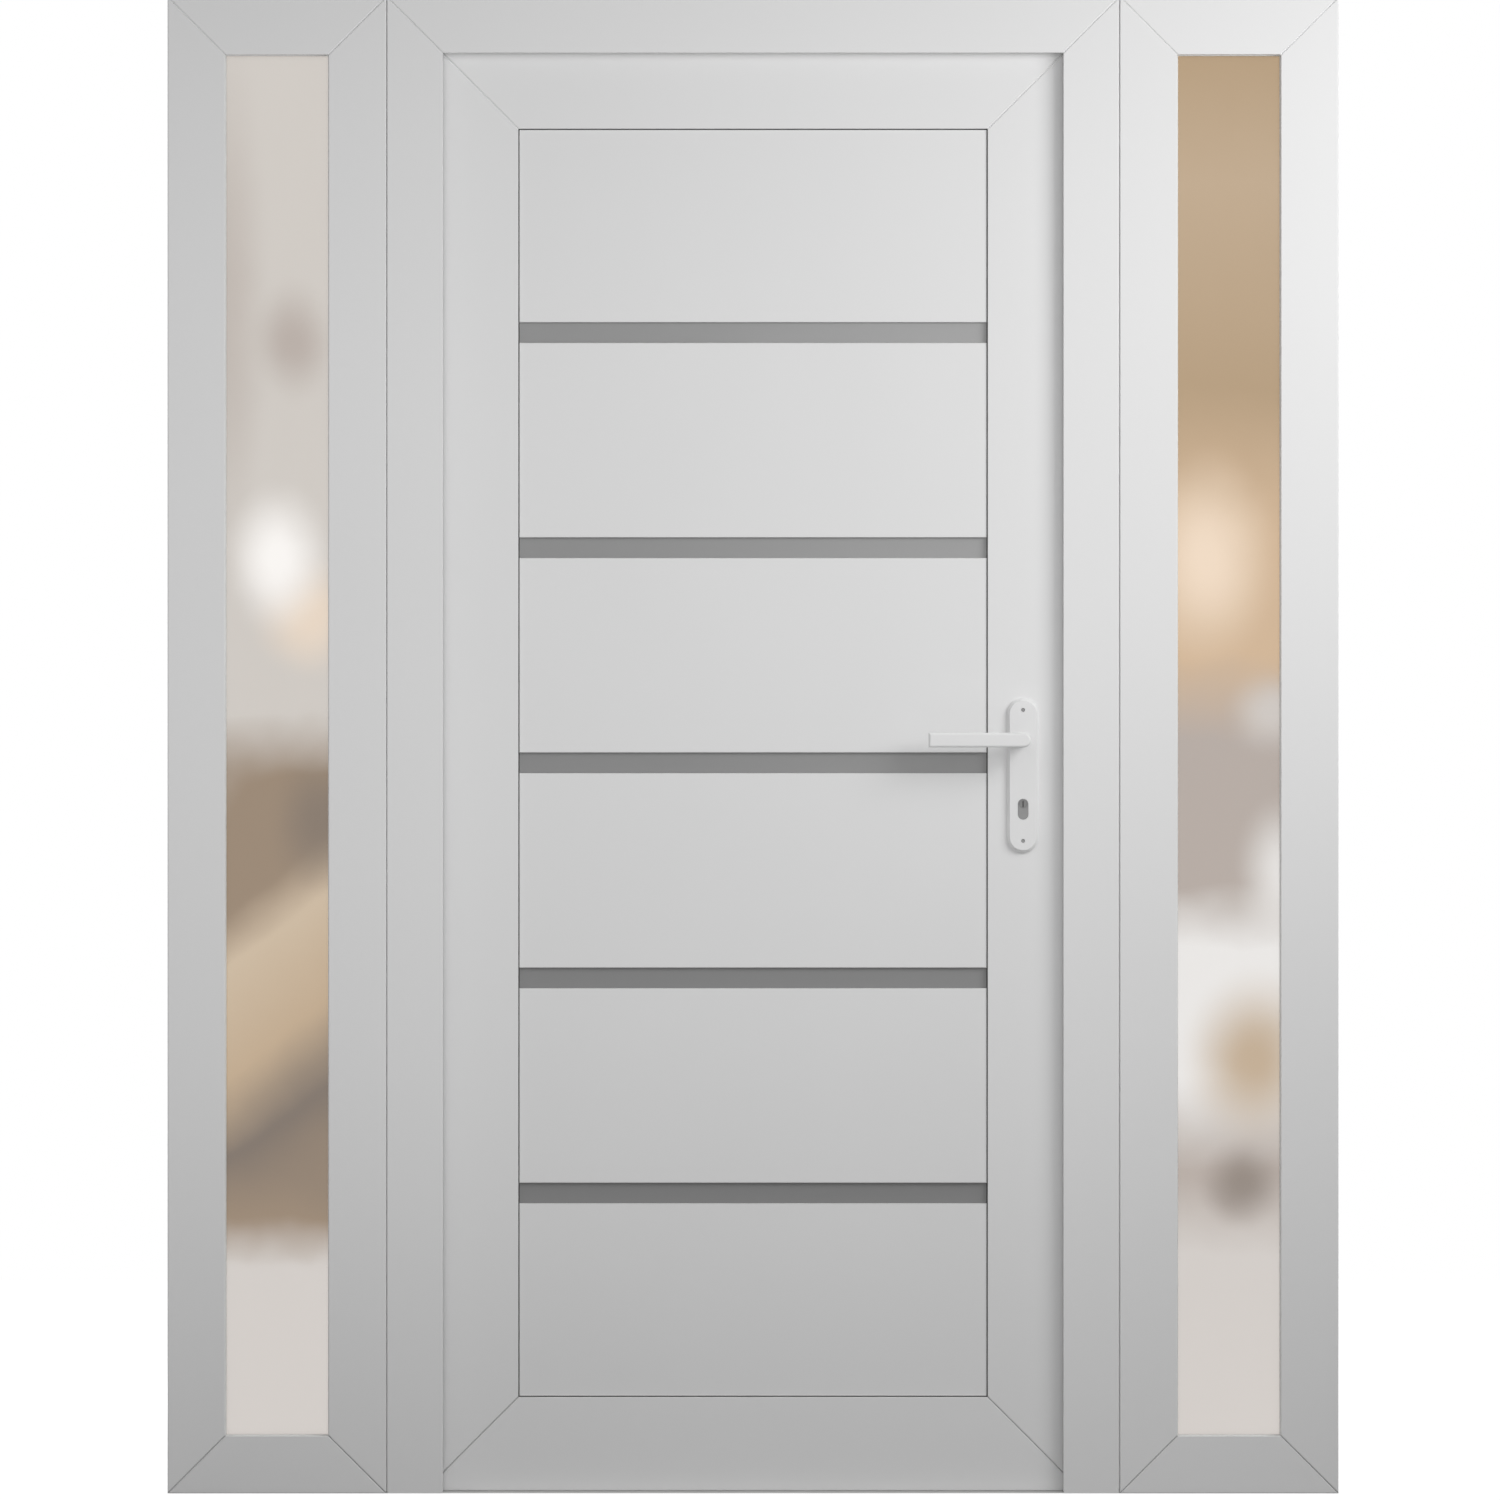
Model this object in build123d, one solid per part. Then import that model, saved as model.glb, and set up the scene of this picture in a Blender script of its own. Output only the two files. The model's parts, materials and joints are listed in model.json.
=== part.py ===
"""White exterior door with a glazed sidelight on each side, all in mitred plastic profile.

The door unit has a three-sided frame and a low threshold. Its leaf opens inwards on three
surface hinges, has six flush infill panels with a frosted glass strip between each two, and
a lever handle on a long backplate on both faces. Each sidelight is a four-sided frame of its
own around a narrow sealed glass unit, coupled to the door frame.

Millimetres. +Z is up, +X is to the right seen from outside and +Y goes from outside to
inside. The origin is on the underside of the threshold, at the middle of the door unit's
width and of the frame's depth.

Profile sections are drawn in (u, v): u runs from the profile's outer edge towards the
opening, and v from its outdoor face towards the indoors.
"""

import os

from build123d import *

# Overall sizes
UNIT_HEIGHT = 2032.0
DOOR_FRAME_WIDTH = 994.0
SIDELIGHT_WIDTH = 296.8
FRAME_DEPTH = 70.0
JOINT_GAP = 1.2  # between the door frame and a sidelight frame

# Shared profile details
FACE_EDGE_RADIUS = 1.5
SIGHT_EDGE_RADIUS = 1.0
MITRE_GROOVE = 1.5  # half width and depth of the cleaned weld line at a mitre
LIP_THICKNESS = 16.0
CHANNEL_WIDTH = 26.0  # fixing channel along a frame's outer edge
CHANNEL_DEPTH = 4.0
CUT_MARGIN = 1.0  # how far a mitre cut runs past the profile's inner edge

# Door frame profile
DOOR_FRAME_BODY = 57.0  # from the outer edge to the bottom of the rebate
DOOR_FRAME_FACE = 75.5  # flat outdoor face, as far as the lip's edge
HARDWARE_GROOVE_WIDTH = 12.0
HARDWARE_GROOVE_DEPTH = 2.0
HARDWARE_GROOVE_V = 47.0  # its centre line, from the frame's outdoor face

# Seals
SEAL_GAP = 5.0  # rigid frame to rigid leaf, filled by a rubber seal
SEAL_CLEARANCE = 0.3
SEAL_WIDTH = 4.0
SEAL_GROOVE_DEPTH = 2.5
SEAL_TIP_RADIUS = 1.5
FRAME_SEAL_FROM_BODY = 13.0
LEAF_SEAL_FROM_EDGE = 2.5

# Leaf profile
LEAF_RAIL = 129.0  # flange edge to sight line
LEAF_DEPTH = 70.0
AIR_GAP = 12.0  # between the frame's rebate and the leaf's edge
FLANGE_OVERLAP = 8.0
FLANGE_THICKNESS = 16.0
FLANGE_BACK_RADIUS = 3.0
FLANGE_FRONT_RADIUS = 1.0
LEAF_BOTTOM_GAP = 5.0  # above the threshold
LEAF_LOW_RAIL_TOP = 130.0  # the lower sight line, above the floor

# Glazing and infill, all held the same way
GLAZING_THICKNESS = 24.0
GASKET_THICKNESS = 3.0
GLAZING_REBATE = 20.0  # height of the lip and the bead in front of the glazing's edge
GLAZING_EDGE_GAP = 4.0
GASKET_COVER = 12.0
GASKET_SHOW = 1.3  # how far a glass gasket stands past the sight line
BEAD_NOSE = 14.0
BEAD_SLOPE = 14.0
BEAD_SETBACK = 1.0  # behind the profile's indoor face
BEAD_NOSE_RADIUS = 3.0
BEAD_BACK_RADIUS = 2.0
PANE_THICKNESS = 4.0
SPACER_HEIGHT = 11.0
SPACER_BELOW_SIGHT_LINE = 1.0

# Sidelight profile
SIDELIGHT_BODY = 58.0

# Infill panels and glass strips
PANEL_COUNT = 6
END_PANEL_HEIGHT = 261.6  # the top and bottom fields, a little lower than the others
STRIP_HEIGHT = 28.0
STRIP_SETBACK = 5.0  # outdoor face of the glass strips behind the fields' faces
STRIP_EDGE_GAP = 0.2
FIELD_GAP = 1.4  # shadow gap round the raised fields
FIELD_SETBACK = 3.0  # outdoor field behind the leaf's face
INDOOR_FIELD_HEIGHT = 19.0
STRIP_LAP = 6.0  # how far a panel's field covers the edge of a glass strip
FIELD_EDGE_BEVEL = 0.7

# Threshold and bottom seal
THRESHOLD_HEIGHT = 3.0
THRESHOLD_EDGE_HEIGHT = 1.0
THRESHOLD_RAMP = 10.0
THRESHOLD_INSIDE_REACH = 25.0
TREAD_GROOVE_COUNT = 5
TREAD_GROOVE_WIDTH = 2.0
TREAD_GROOVE_PITCH = 8.0
SWEEP_CARRIER_HEIGHT = 2.0
SWEEP_CARRIER_DEPTH = 22.0
SWEEP_BLADE_THICKNESS = 5.0
SWEEP_END_GAP = 1.0
SWEEP_CLEARANCE = 0.5

# Coupling strip between two frames
COUPLING_SETBACK = 4.0
COUPLING_CLEARANCE = 0.4

# Hinges
HINGE_HEIGHTS = (230.0, 1130.0, 1790.0)  # where each hinge's two barrels meet
HINGE_FROM_EDGE = 45.0  # axis, from the door frame's outer edge
HINGE_OFFSET = 12.0  # axis, indoors of the leaf's indoor face
HINGE_RADIUS = 10.0
FRAME_BARREL_HEIGHT = 52.0
LEAF_BARREL_HEIGHT = 56.0
BARREL_GAP = 0.5
BARREL_END_BEVEL = 2.5
HINGE_PIN_RADIUS = 5.0
HINGE_PIN_REACH = 40.0  # into each barrel
PIN_FIXED_CLEARANCE = 0.02
PIN_TURNING_CLEARANCE = 0.08
PIN_END_CLEARANCE = 1.0
HINGE_PLATE = 5.0
HINGE_PLATE_HEIGHT = 92.0
HINGE_PLATE_BEVEL = 1.2
FRAME_PLATE_WIDTH = 32.0
FRAME_ARM_WIDTH = 9.0
LEAF_PLATE_WIDTH = 46.0
LEAF_PLATE_FROM_BARREL = 5.0
LEAF_ARM_THICKNESS = 10.0

# Lever handles and their plates
HANDLE_FROM_EDGE = 130.0  # handle centre line, from the door frame's outer edge
LEVER_HEIGHT = 1023.0
PLATE_WIDTH = 43.0
PLATE_HEIGHT = 210.0
PLATE_THICKNESS = 8.0
PLATE_BEVEL_WIDTH = 3.5
PLATE_BEVEL_DEPTH = 4.5
PLATE_BELOW_LEVER = 48.0  # plate centre under the lever's axis
PLATE_SCREW_SPACING = 178.0
SCREW_HOLE_RADIUS = 2.6
SCREW_SINK_DEPTH = 3.0
PLATE_BOSS_RADIUS = 9.4
PLATE_BOSS_HEIGHT = 2.0
NECK_RADIUS = 8.0
NECK_CLEARANCE = 0.06
LEVER_LENGTH = 129.0  # axis to the squared end
LEVER_WIDTH = 20.0
LEVER_THICKNESS = 11.0
LEVER_PROJECTION = 55.0  # leaf face to the lever's far face
LEVER_EDGE_RADIUS = 3.5
LEVER_BACK_BEVEL = 1.5
LEVER_TIP_BEVEL = 2.5
SPINDLE_SIZE = 8.0
SPINDLE_SOCKET = 24.0
SPINDLE_HOLE_RADIUS = 8.5

# Lock
CYLINDER_BELOW_LEVER = 94.0  # centre of the oval cylinder under the lever's axis
CYLINDER_WIDTH = 14.0
CYLINDER_HEIGHT = 28.0
CYLINDER_CLEARANCE = 0.25
CYLINDER_SINK = 1.2  # its face behind the plate's face
KEY_PLUG_RADIUS = 5.4
KEY_PLUG_PROUD = 0.5
KEYWAY_WIDTH = 2.2
KEYWAY_HEIGHT = 8.0
KEYWAY_DEPTH = 9.0
LOCK_STRIP_WIDTH = 16.0
LOCK_STRIP_THICKNESS = 2.5
LOCK_STRIP_LENGTH = 1700.0
LOCK_GROOVE_DEPTH = 2.0
BOLT_THICKNESS = 12.0
LATCH_HEIGHT = 30.0
DEADBOLT_HEIGHT = 36.0
BOLT_LENGTH = 30.0
BOLT_PROUD = 0.6  # both are drawn back into the strip
BOLT_POCKET_GAP = 0.2
STRIKE_WIDTH = 22.0
STRIKE_THICKNESS = 3.0
STRIKE_MARGIN = 30.0
STRIKE_CORNER = 4.0
STRIKE_WINDOW_GAP = 1.0

# Places worked out from the sizes above
FRAME_FRONT = -FRAME_DEPTH / 2
FRAME_BACK = FRAME_DEPTH / 2
HALF_DOOR = DOOR_FRAME_WIDTH / 2
SIDELIGHT_CENTRE = HALF_DOOR + JOINT_GAP + SIDELIGHT_WIDTH / 2
LEAF_FRONT = FRAME_FRONT + LIP_THICKNESS + SEAL_GAP
LEAF_BACK = LEAF_FRONT + LEAF_DEPTH
LEAF_STEP = AIR_GAP + FLANGE_OVERLAP
LEAF_EDGE = DOOR_FRAME_BODY - FLANGE_OVERLAP  # flange edge, from the frame's outer edge
LEAF_REBATE = LEAF_RAIL - GLAZING_REBATE
LEAF_WIDTH = DOOR_FRAME_WIDTH - 2 * LEAF_EDGE
LEAF_OUTLINE_BOTTOM = LEAF_LOW_RAIL_TOP - LEAF_RAIL
LEAF_OUTLINE_HEIGHT = UNIT_HEIGHT - LEAF_EDGE - LEAF_OUTLINE_BOTTOM
LEAF_OUTLINE = (0, LEAF_OUTLINE_BOTTOM, LEAF_WIDTH, LEAF_OUTLINE_HEIGHT, LEAF_FRONT)
LEAF_UNDERSIDE = THRESHOLD_HEIGHT + LEAF_BOTTOM_GAP
FLANGE_V = LEAF_DEPTH - FLANGE_THICKNESS
SIDELIGHT_FACE = SIDELIGHT_BODY + GLAZING_REBATE
GLAZING_V = LIP_THICKNESS + GASKET_THICKNESS
BEAD_GASKET_V = GLAZING_V + GLAZING_THICKNESS
BEAD_V = BEAD_GASKET_V + GASKET_THICKNESS
FIELD_WIDTH = LEAF_WIDTH - 2 * (LEAF_RAIL + FIELD_GAP)
CORE_WIDTH = LEAF_WIDTH - 2 * (LEAF_REBATE + GLAZING_EDGE_GAP)
FIELD_BOTTOM = LEAF_LOW_RAIL_TOP + FIELD_GAP
FIELD_TOP = UNIT_HEIGHT - LEAF_EDGE - LEAF_RAIL - FIELD_GAP
CORE_BEYOND_FIELD = FIELD_GAP + GLAZING_REBATE - GLAZING_EDGE_GAP
FIRST_STRIP = FIELD_BOTTOM + END_PANEL_HEIGHT  # lower edge of the lowest strip that shows
LAST_STRIP = FIELD_TOP - END_PANEL_HEIGHT - STRIP_HEIGHT
STRIP_PITCH = (LAST_STRIP - FIRST_STRIP) / (PANEL_COUNT - 2)
HANDLE_X = HALF_DOOR - HANDLE_FROM_EDGE
PLATE_CENTRE_Z = LEVER_HEIGHT - PLATE_BELOW_LEVER
CYLINDER_Z = LEVER_HEIGHT - CYLINDER_BELOW_LEVER
LOCK_EDGE_X = HALF_DOOR - LEAF_EDGE - LEAF_STEP
LOCK_STRIP_Y = LEAF_FRONT + HARDWARE_GROOVE_V - LIP_THICKNESS - SEAL_GAP
HINGE_X = -HALF_DOOR + HINGE_FROM_EDGE
HINGE_Y = LEAF_BACK + HINGE_OFFSET
HINGE_FRAME_PLATE_X = HINGE_X - HINGE_RADIUS + FRAME_ARM_WIDTH
CUT_LENGTH = 4000.0  # longer than anything here, for cutting tools


def box(x, y, z):
    """A box from its (low, high) limits on each axis."""
    size = (x[1] - x[0], y[1] - y[0], z[1] - z[0])
    return Pos(x[0], y[0], z[0]) * Box(*size, align=(Align.MIN, Align.MIN, Align.MIN))


def everything_below(z):
    """A block that takes away whatever is lower than z."""
    far = (-CUT_LENGTH, CUT_LENGTH)
    return box(far, far, (-CUT_LENGTH, z))


def section(*corners):
    """A closed profile section from (u, v) or (u, v, corner radius) corners."""
    points = [corner[:2] for corner in corners]
    radii = [corner[2] if len(corner) > 2 else 0 for corner in corners]
    return make_face(FilletPolyline(*points, radius=radii, close=True))


def mitre_cutter(width):
    """What a 45 degree saw cut takes off the start of a member that runs along +Z."""
    triangle = make_face(Polyline((0, 0), (width, 0), (width, width), close=True))
    return extrude(Plane.XZ * triangle, CUT_LENGTH, both=True)


def mitre_groove(face_v):
    """The V-shaped weld line along a mitre, on the face at depth v."""
    along_mitre = Plane(origin=(0, face_v, 0), x_dir=(0, 1, 0), z_dir=(1, 0, 1))
    diamond = Rectangle(MITRE_GROOVE * 2**0.5, MITRE_GROOVE * 2**0.5, rotation=45)
    return extrude(along_mitre * diamond, CUT_LENGTH, both=True)


def member(profile, length, mitred=(True, True), grooved_faces=()):
    """A length of profile along +Z from 0, with its ends mitred towards +X."""
    body = extrude(profile, length)
    width = profile.bounding_box().max.X + CUT_MARGIN
    start_tools = [mitre_cutter(width), *(mitre_groove(v) for v in grooved_faces)]
    for tool in start_tools if mitred[0] else []:
        body -= tool
    for tool in start_tools if mitred[1] else []:
        body -= Pos(0, 0, length) * tool.mirror(Plane.XY)
    return body


def in_frame(piece, side, centre_x, bottom, width, height, front):
    """Places a member on the named side of a rectangular outline, u pointing inwards."""
    half = width / 2
    corner = {
        "left": (-half, bottom, 0),
        "head": (-half, bottom + height, 90),
        "right": (half, bottom + height, 180),
        "sill": (half, bottom, 270),
    }
    x, z, turn = corner[side]
    return Pos(centre_x + x, front, z) * Rot(0, turn, 0) * piece


def ring(width, height, u_low, u_high, v_low, v_high):
    """A rectangular ring inside an outline, standing up, with its front at v_low."""
    outer = Rectangle(width - 2 * u_low, height - 2 * u_low)
    inner = Rectangle(width - 2 * u_high, height - 2 * u_high)
    return Pos(0, v_high, 0) * extrude(Plane.XZ * (outer - inner), v_high - v_low)


def fixing_channel():
    """Corners of the channel along a frame's outer edge, from its back to its front."""
    low = (FRAME_DEPTH - CHANNEL_WIDTH) / 2
    high = low + CHANNEL_WIDTH
    return (0, high), (CHANNEL_DEPTH, high), (CHANNEL_DEPTH, low), (0, low)


def door_frame_section():
    """L-shaped section: a body with a flat lip that the leaf closes against."""
    seal_u = DOOR_FRAME_BODY + FRAME_SEAL_FROM_BODY
    seal_v = LIP_THICKNESS - SEAL_GROOVE_DEPTH
    groove = HARDWARE_GROOVE_WIDTH / 2
    groove_floor = DOOR_FRAME_BODY - HARDWARE_GROOVE_DEPTH
    return section(
        (0, 0, FACE_EDGE_RADIUS),
        (DOOR_FRAME_FACE, 0, SIGHT_EDGE_RADIUS),
        (DOOR_FRAME_FACE, LIP_THICKNESS),
        (seal_u + SEAL_WIDTH, LIP_THICKNESS),
        (seal_u + SEAL_WIDTH, seal_v),
        (seal_u, seal_v),
        (seal_u, LIP_THICKNESS),
        (DOOR_FRAME_BODY, LIP_THICKNESS),
        (DOOR_FRAME_BODY, HARDWARE_GROOVE_V - groove),
        (groove_floor, HARDWARE_GROOVE_V - groove),
        (groove_floor, HARDWARE_GROOVE_V + groove),
        (DOOR_FRAME_BODY, HARDWARE_GROOVE_V + groove),
        (DOOR_FRAME_BODY, FRAME_DEPTH, SIGHT_EDGE_RADIUS),
        (0, FRAME_DEPTH, FACE_EDGE_RADIUS),
        *fixing_channel(),
    )


def sidelight_section():
    """L-shaped section: a body with a flat lip that the glass unit sits behind."""
    return section(
        (0, 0, FACE_EDGE_RADIUS),
        (SIDELIGHT_FACE, 0, SIGHT_EDGE_RADIUS),
        (SIDELIGHT_FACE, LIP_THICKNESS),
        (SIDELIGHT_BODY, LIP_THICKNESS),
        (SIDELIGHT_BODY, FRAME_DEPTH),
        (0, FRAME_DEPTH, FACE_EDGE_RADIUS),
        *fixing_channel(),
    )


def leaf_section():
    """Z-shaped section: a lip outdoors for the infill, and a flange indoors over the frame."""
    seal_u = LEAF_SEAL_FROM_EDGE
    groove_low = LOCK_STRIP_Y - LEAF_FRONT - LOCK_STRIP_WIDTH / 2
    groove_floor = LEAF_STEP + LOCK_GROOVE_DEPTH
    return section(
        (LEAF_STEP, 0, FACE_EDGE_RADIUS),
        (LEAF_RAIL, 0, SIGHT_EDGE_RADIUS),
        (LEAF_RAIL, LIP_THICKNESS),
        (LEAF_REBATE, LIP_THICKNESS),
        (LEAF_REBATE, LEAF_DEPTH),
        (0, LEAF_DEPTH, FLANGE_BACK_RADIUS),
        (0, FLANGE_V, FLANGE_FRONT_RADIUS),
        (seal_u, FLANGE_V),
        (seal_u, FLANGE_V + SEAL_GROOVE_DEPTH),
        (seal_u + SEAL_WIDTH, FLANGE_V + SEAL_GROOVE_DEPTH),
        (seal_u + SEAL_WIDTH, FLANGE_V),
        (LEAF_STEP, FLANGE_V),
        (LEAF_STEP, groove_low + LOCK_STRIP_WIDTH),
        (groove_floor, groove_low + LOCK_STRIP_WIDTH),
        (groove_floor, groove_low),
        (LEAF_STEP, groove_low),
    )


def leaf_bottom_section():
    """The leaf's section for the bottom rail, where no frame stands behind the flange."""
    underside = LEAF_UNDERSIDE - LEAF_OUTLINE_BOTTOM
    return section(
        (underside, 0),
        (LEAF_RAIL, 0, SIGHT_EDGE_RADIUS),
        (LEAF_RAIL, LIP_THICKNESS),
        (LEAF_REBATE, LIP_THICKNESS),
        (LEAF_REBATE, LEAF_DEPTH),
        (underside, LEAF_DEPTH, FLANGE_FRONT_RADIUS),
    )


def bead_section(rebate_u, depth):
    """The clip-in bead that closes a rebate on the indoor side, sloping to the sight line."""
    back = depth - BEAD_SETBACK
    return section(
        (rebate_u, BEAD_V),
        (rebate_u + GLAZING_REBATE, BEAD_V),
        (rebate_u + GLAZING_REBATE, BEAD_V + BEAD_NOSE, BEAD_NOSE_RADIUS),
        (rebate_u + GLAZING_REBATE - BEAD_SLOPE, back, BEAD_BACK_RADIUS),
        (rebate_u, back),
    )


def door_frame():
    """Two jambs that stand on the floor, and the head mitred between them."""
    outline = (0, 0, DOOR_FRAME_WIDTH, UNIT_HEIGHT, FRAME_FRONT)
    profile = door_frame_section()
    faces = (0, FRAME_DEPTH)
    left = member(profile, UNIT_HEIGHT, (False, True), faces)
    right = member(profile, UNIT_HEIGHT, (True, False), faces)
    head = member(profile, DOOR_FRAME_WIDTH, (True, True), faces)
    return {
        "left_door_jamb": in_frame(left, "left", *outline),
        "right_door_jamb": in_frame(right, "right", *outline),
        "door_head": in_frame(head, "head", *outline),
    }


def sidelight_frame(side, centre_x):
    """The four mitred members of a sidelight, its inner stile being the one by the door."""
    outline = (centre_x, 0, SIDELIGHT_WIDTH, UNIT_HEIGHT, FRAME_FRONT)
    profile = sidelight_section()
    upright = member(profile, UNIT_HEIGHT, grooved_faces=(0, FRAME_DEPTH))
    level = member(profile, SIDELIGHT_WIDTH, grooved_faces=(0, FRAME_DEPTH))
    left_name, right_name = ("outer", "inner") if side == "left" else ("inner", "outer")
    rails = [in_frame(level, end, *outline) for end in ("head", "sill")]
    return {
        f"{side}_sidelight_{left_name}_stile": in_frame(upright, "left", *outline),
        f"{side}_sidelight_{right_name}_stile": in_frame(upright, "right", *outline),
        f"{side}_sidelight_rails": Compound(children=rails),
    }


def beads(prefix, rebate_u, depth, outline):
    """Four mitred glazing beads, as two nodes of two pieces that don't touch."""
    width, height = outline[2], outline[3]
    profile = bead_section(rebate_u, depth)
    upright = member(profile, height)
    level = member(profile, width)
    side_beads = [in_frame(upright, side, *outline) for side in ("left", "right")]
    end_beads = [in_frame(level, side, *outline) for side in ("head", "sill")]
    return {
        f"{prefix}_side_beads": Compound(children=side_beads),
        f"{prefix}_end_beads": Compound(children=end_beads),
    }


def sidelight_glazing(side, centre_x):
    """The sealed unit of two panes, its spacer, and the gasket on each face."""
    size = (SIDELIGHT_WIDTH, UNIT_HEIGHT)
    place = Pos(centre_x, FRAME_FRONT, UNIT_HEIGHT / 2)
    edge = SIDELIGHT_BODY + GLAZING_EDGE_GAP
    pane = Box(size[0] - 2 * edge, PANE_THICKNESS, size[1] - 2 * edge)
    pane_centres = (GLAZING_V + PANE_THICKNESS / 2, BEAD_GASKET_V - PANE_THICKNESS / 2)
    spacer_v = (GLAZING_V + PANE_THICKNESS, BEAD_GASKET_V - PANE_THICKNESS)
    spacer_edge = SIDELIGHT_FACE - SPACER_BELOW_SIGHT_LINE
    spacer_u = (spacer_edge - SPACER_HEIGHT, spacer_edge)
    gasket_u = (SIDELIGHT_FACE - GASKET_COVER, SIDELIGHT_FACE + GASKET_SHOW)
    gaskets = [
        place * ring(*size, *gasket_u, LIP_THICKNESS, GLAZING_V),
        place * ring(*size, *gasket_u, BEAD_GASKET_V, BEAD_V),
    ]
    return {
        f"{side}_sidelight_glass": Compound(
            children=[place * Pos(0, v, 0) * pane for v in pane_centres]
        ),
        f"{side}_sidelight_spacer": place * ring(*size, *spacer_u, *spacer_v),
        f"{side}_sidelight_gaskets": Compound(children=gaskets),
    }


def sidelight(side):
    """One whole sidelight, left or right of the door."""
    centre_x = -SIDELIGHT_CENTRE if side == "left" else SIDELIGHT_CENTRE
    outline = (centre_x, 0, SIDELIGHT_WIDTH, UNIT_HEIGHT, FRAME_FRONT)
    return {
        **sidelight_frame(side, centre_x),
        **beads(f"{side}_sidelight", SIDELIGHT_BODY, FRAME_DEPTH, outline),
        **sidelight_glazing(side, centre_x),
    }


def coupling_strips():
    """Cross-shaped strips that key the fixing channels of each two neighbouring frames."""
    x = HALF_DOOR + JOINT_GAP / 2
    web = Box(JOINT_GAP, FRAME_DEPTH - 2 * COUPLING_SETBACK, UNIT_HEIGHT)
    key_width = JOINT_GAP + 2 * (CHANNEL_DEPTH - COUPLING_CLEARANCE)
    key = Box(key_width, CHANNEL_WIDTH - 2 * COUPLING_CLEARANCE, UNIT_HEIGHT)
    return Compound(children=[Pos(end, 0, UNIT_HEIGHT / 2) * (web + key) for end in (-x, x)])


def threshold():
    """A low ribbed sill plate between the jambs, ramped at both edges."""
    half = HALF_DOOR - DOOR_FRAME_BODY
    back = FRAME_BACK + THRESHOLD_INSIDE_REACH
    cross_section = Polyline(
        (FRAME_FRONT, 0),
        (FRAME_FRONT, THRESHOLD_EDGE_HEIGHT),
        (FRAME_FRONT + THRESHOLD_RAMP, THRESHOLD_HEIGHT),
        (back - THRESHOLD_RAMP, THRESHOLD_HEIGHT),
        (back, THRESHOLD_EDGE_HEIGHT),
        (back, 0),
        close=True,
    )
    plate = extrude(Plane.YZ * make_face(cross_section), half, both=True)
    groove_depth = TREAD_GROOVE_WIDTH / 2
    for index in range(TREAD_GROOVE_COUNT):
        y = (index - (TREAD_GROOVE_COUNT - 1) / 2) * TREAD_GROOVE_PITCH
        groove = Box(2 * half, TREAD_GROOVE_WIDTH, 2 * groove_depth)
        plate -= Pos(0, y, THRESHOLD_HEIGHT) * groove
    lip_y = (FRAME_FRONT, FRAME_FRONT + LIP_THICKNESS)
    for lip_x in ((-half, DOOR_FRAME_FACE - HALF_DOOR), (HALF_DOOR - DOOR_FRAME_FACE, half)):
        plate -= box(lip_x, lip_y, (0, THRESHOLD_HEIGHT))
    return plate


def three_sided_seal(profile, outline, bottom):
    """A seal in one piece, up both sides of an outline and across its head."""
    width, height = outline[2:4]
    left = in_frame(member(profile, height, (False, True)), "left", *outline)
    right = in_frame(member(profile, height, (True, False)), "right", *outline)
    head = in_frame(member(profile, width), "head", *outline)
    return left + head + right - everything_below(bottom)


def door_frame_seal():
    """The rubber seal in the back of the frame's lip, that the leaf closes against."""
    seal_u = DOOR_FRAME_BODY + FRAME_SEAL_FROM_BODY
    tip = LIP_THICKNESS + SEAL_GAP - SEAL_CLEARANCE
    profile = section(
        (seal_u, LIP_THICKNESS - SEAL_GROOVE_DEPTH),
        (seal_u + SEAL_WIDTH, LIP_THICKNESS - SEAL_GROOVE_DEPTH),
        (seal_u + SEAL_WIDTH, tip, SEAL_TIP_RADIUS),
        (seal_u, tip, SEAL_TIP_RADIUS),
    )
    outline = (0, 0, DOOR_FRAME_WIDTH, UNIT_HEIGHT, FRAME_FRONT)
    return three_sided_seal(profile, outline, THRESHOLD_HEIGHT + SWEEP_CLEARANCE)


def leaf_seal():
    """The rubber seal in the leaf's flange, that closes on the frame's indoor face."""
    seal_u = LEAF_SEAL_FROM_EDGE
    tip = FLANGE_V - SEAL_GAP + SEAL_CLEARANCE
    profile = section(
        (seal_u, FLANGE_V + SEAL_GROOVE_DEPTH),
        (seal_u, tip, SEAL_TIP_RADIUS),
        (seal_u + SEAL_WIDTH, tip, SEAL_TIP_RADIUS),
        (seal_u + SEAL_WIDTH, FLANGE_V + SEAL_GROOVE_DEPTH),
    )
    return three_sided_seal(profile, LEAF_OUTLINE, LEAF_UNDERSIDE)


def leaf_frame():
    """Two stiles, the top rail and the bottom rail of the leaf, mitred and grooved."""
    faces = (0, LEAF_DEPTH)
    upright = member(leaf_section(), LEAF_OUTLINE_HEIGHT, grooved_faces=faces)
    level = member(leaf_section(), LEAF_WIDTH, grooved_faces=faces)
    low = member(leaf_bottom_section(), LEAF_WIDTH, grooved_faces=faces)
    for end in (0, LEAF_WIDTH - LEAF_STEP):
        low -= box((0, LEAF_RAIL), (0, FLANGE_V), (end, end + LEAF_STEP))
    underneath = everything_below(LEAF_UNDERSIDE)
    lock_stile = in_frame(upright, "right", *LEAF_OUTLINE) - underneath
    return {
        "leaf_hinge_stile": in_frame(upright, "left", *LEAF_OUTLINE) - underneath,
        "leaf_lock_stile": lock_stile - handle_holes() - bolt_pockets(),
        "leaf_top_rail": in_frame(level, "head", *LEAF_OUTLINE),
        "leaf_bottom_rail": in_frame(low, "sill", *LEAF_OUTLINE),
    }


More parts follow.
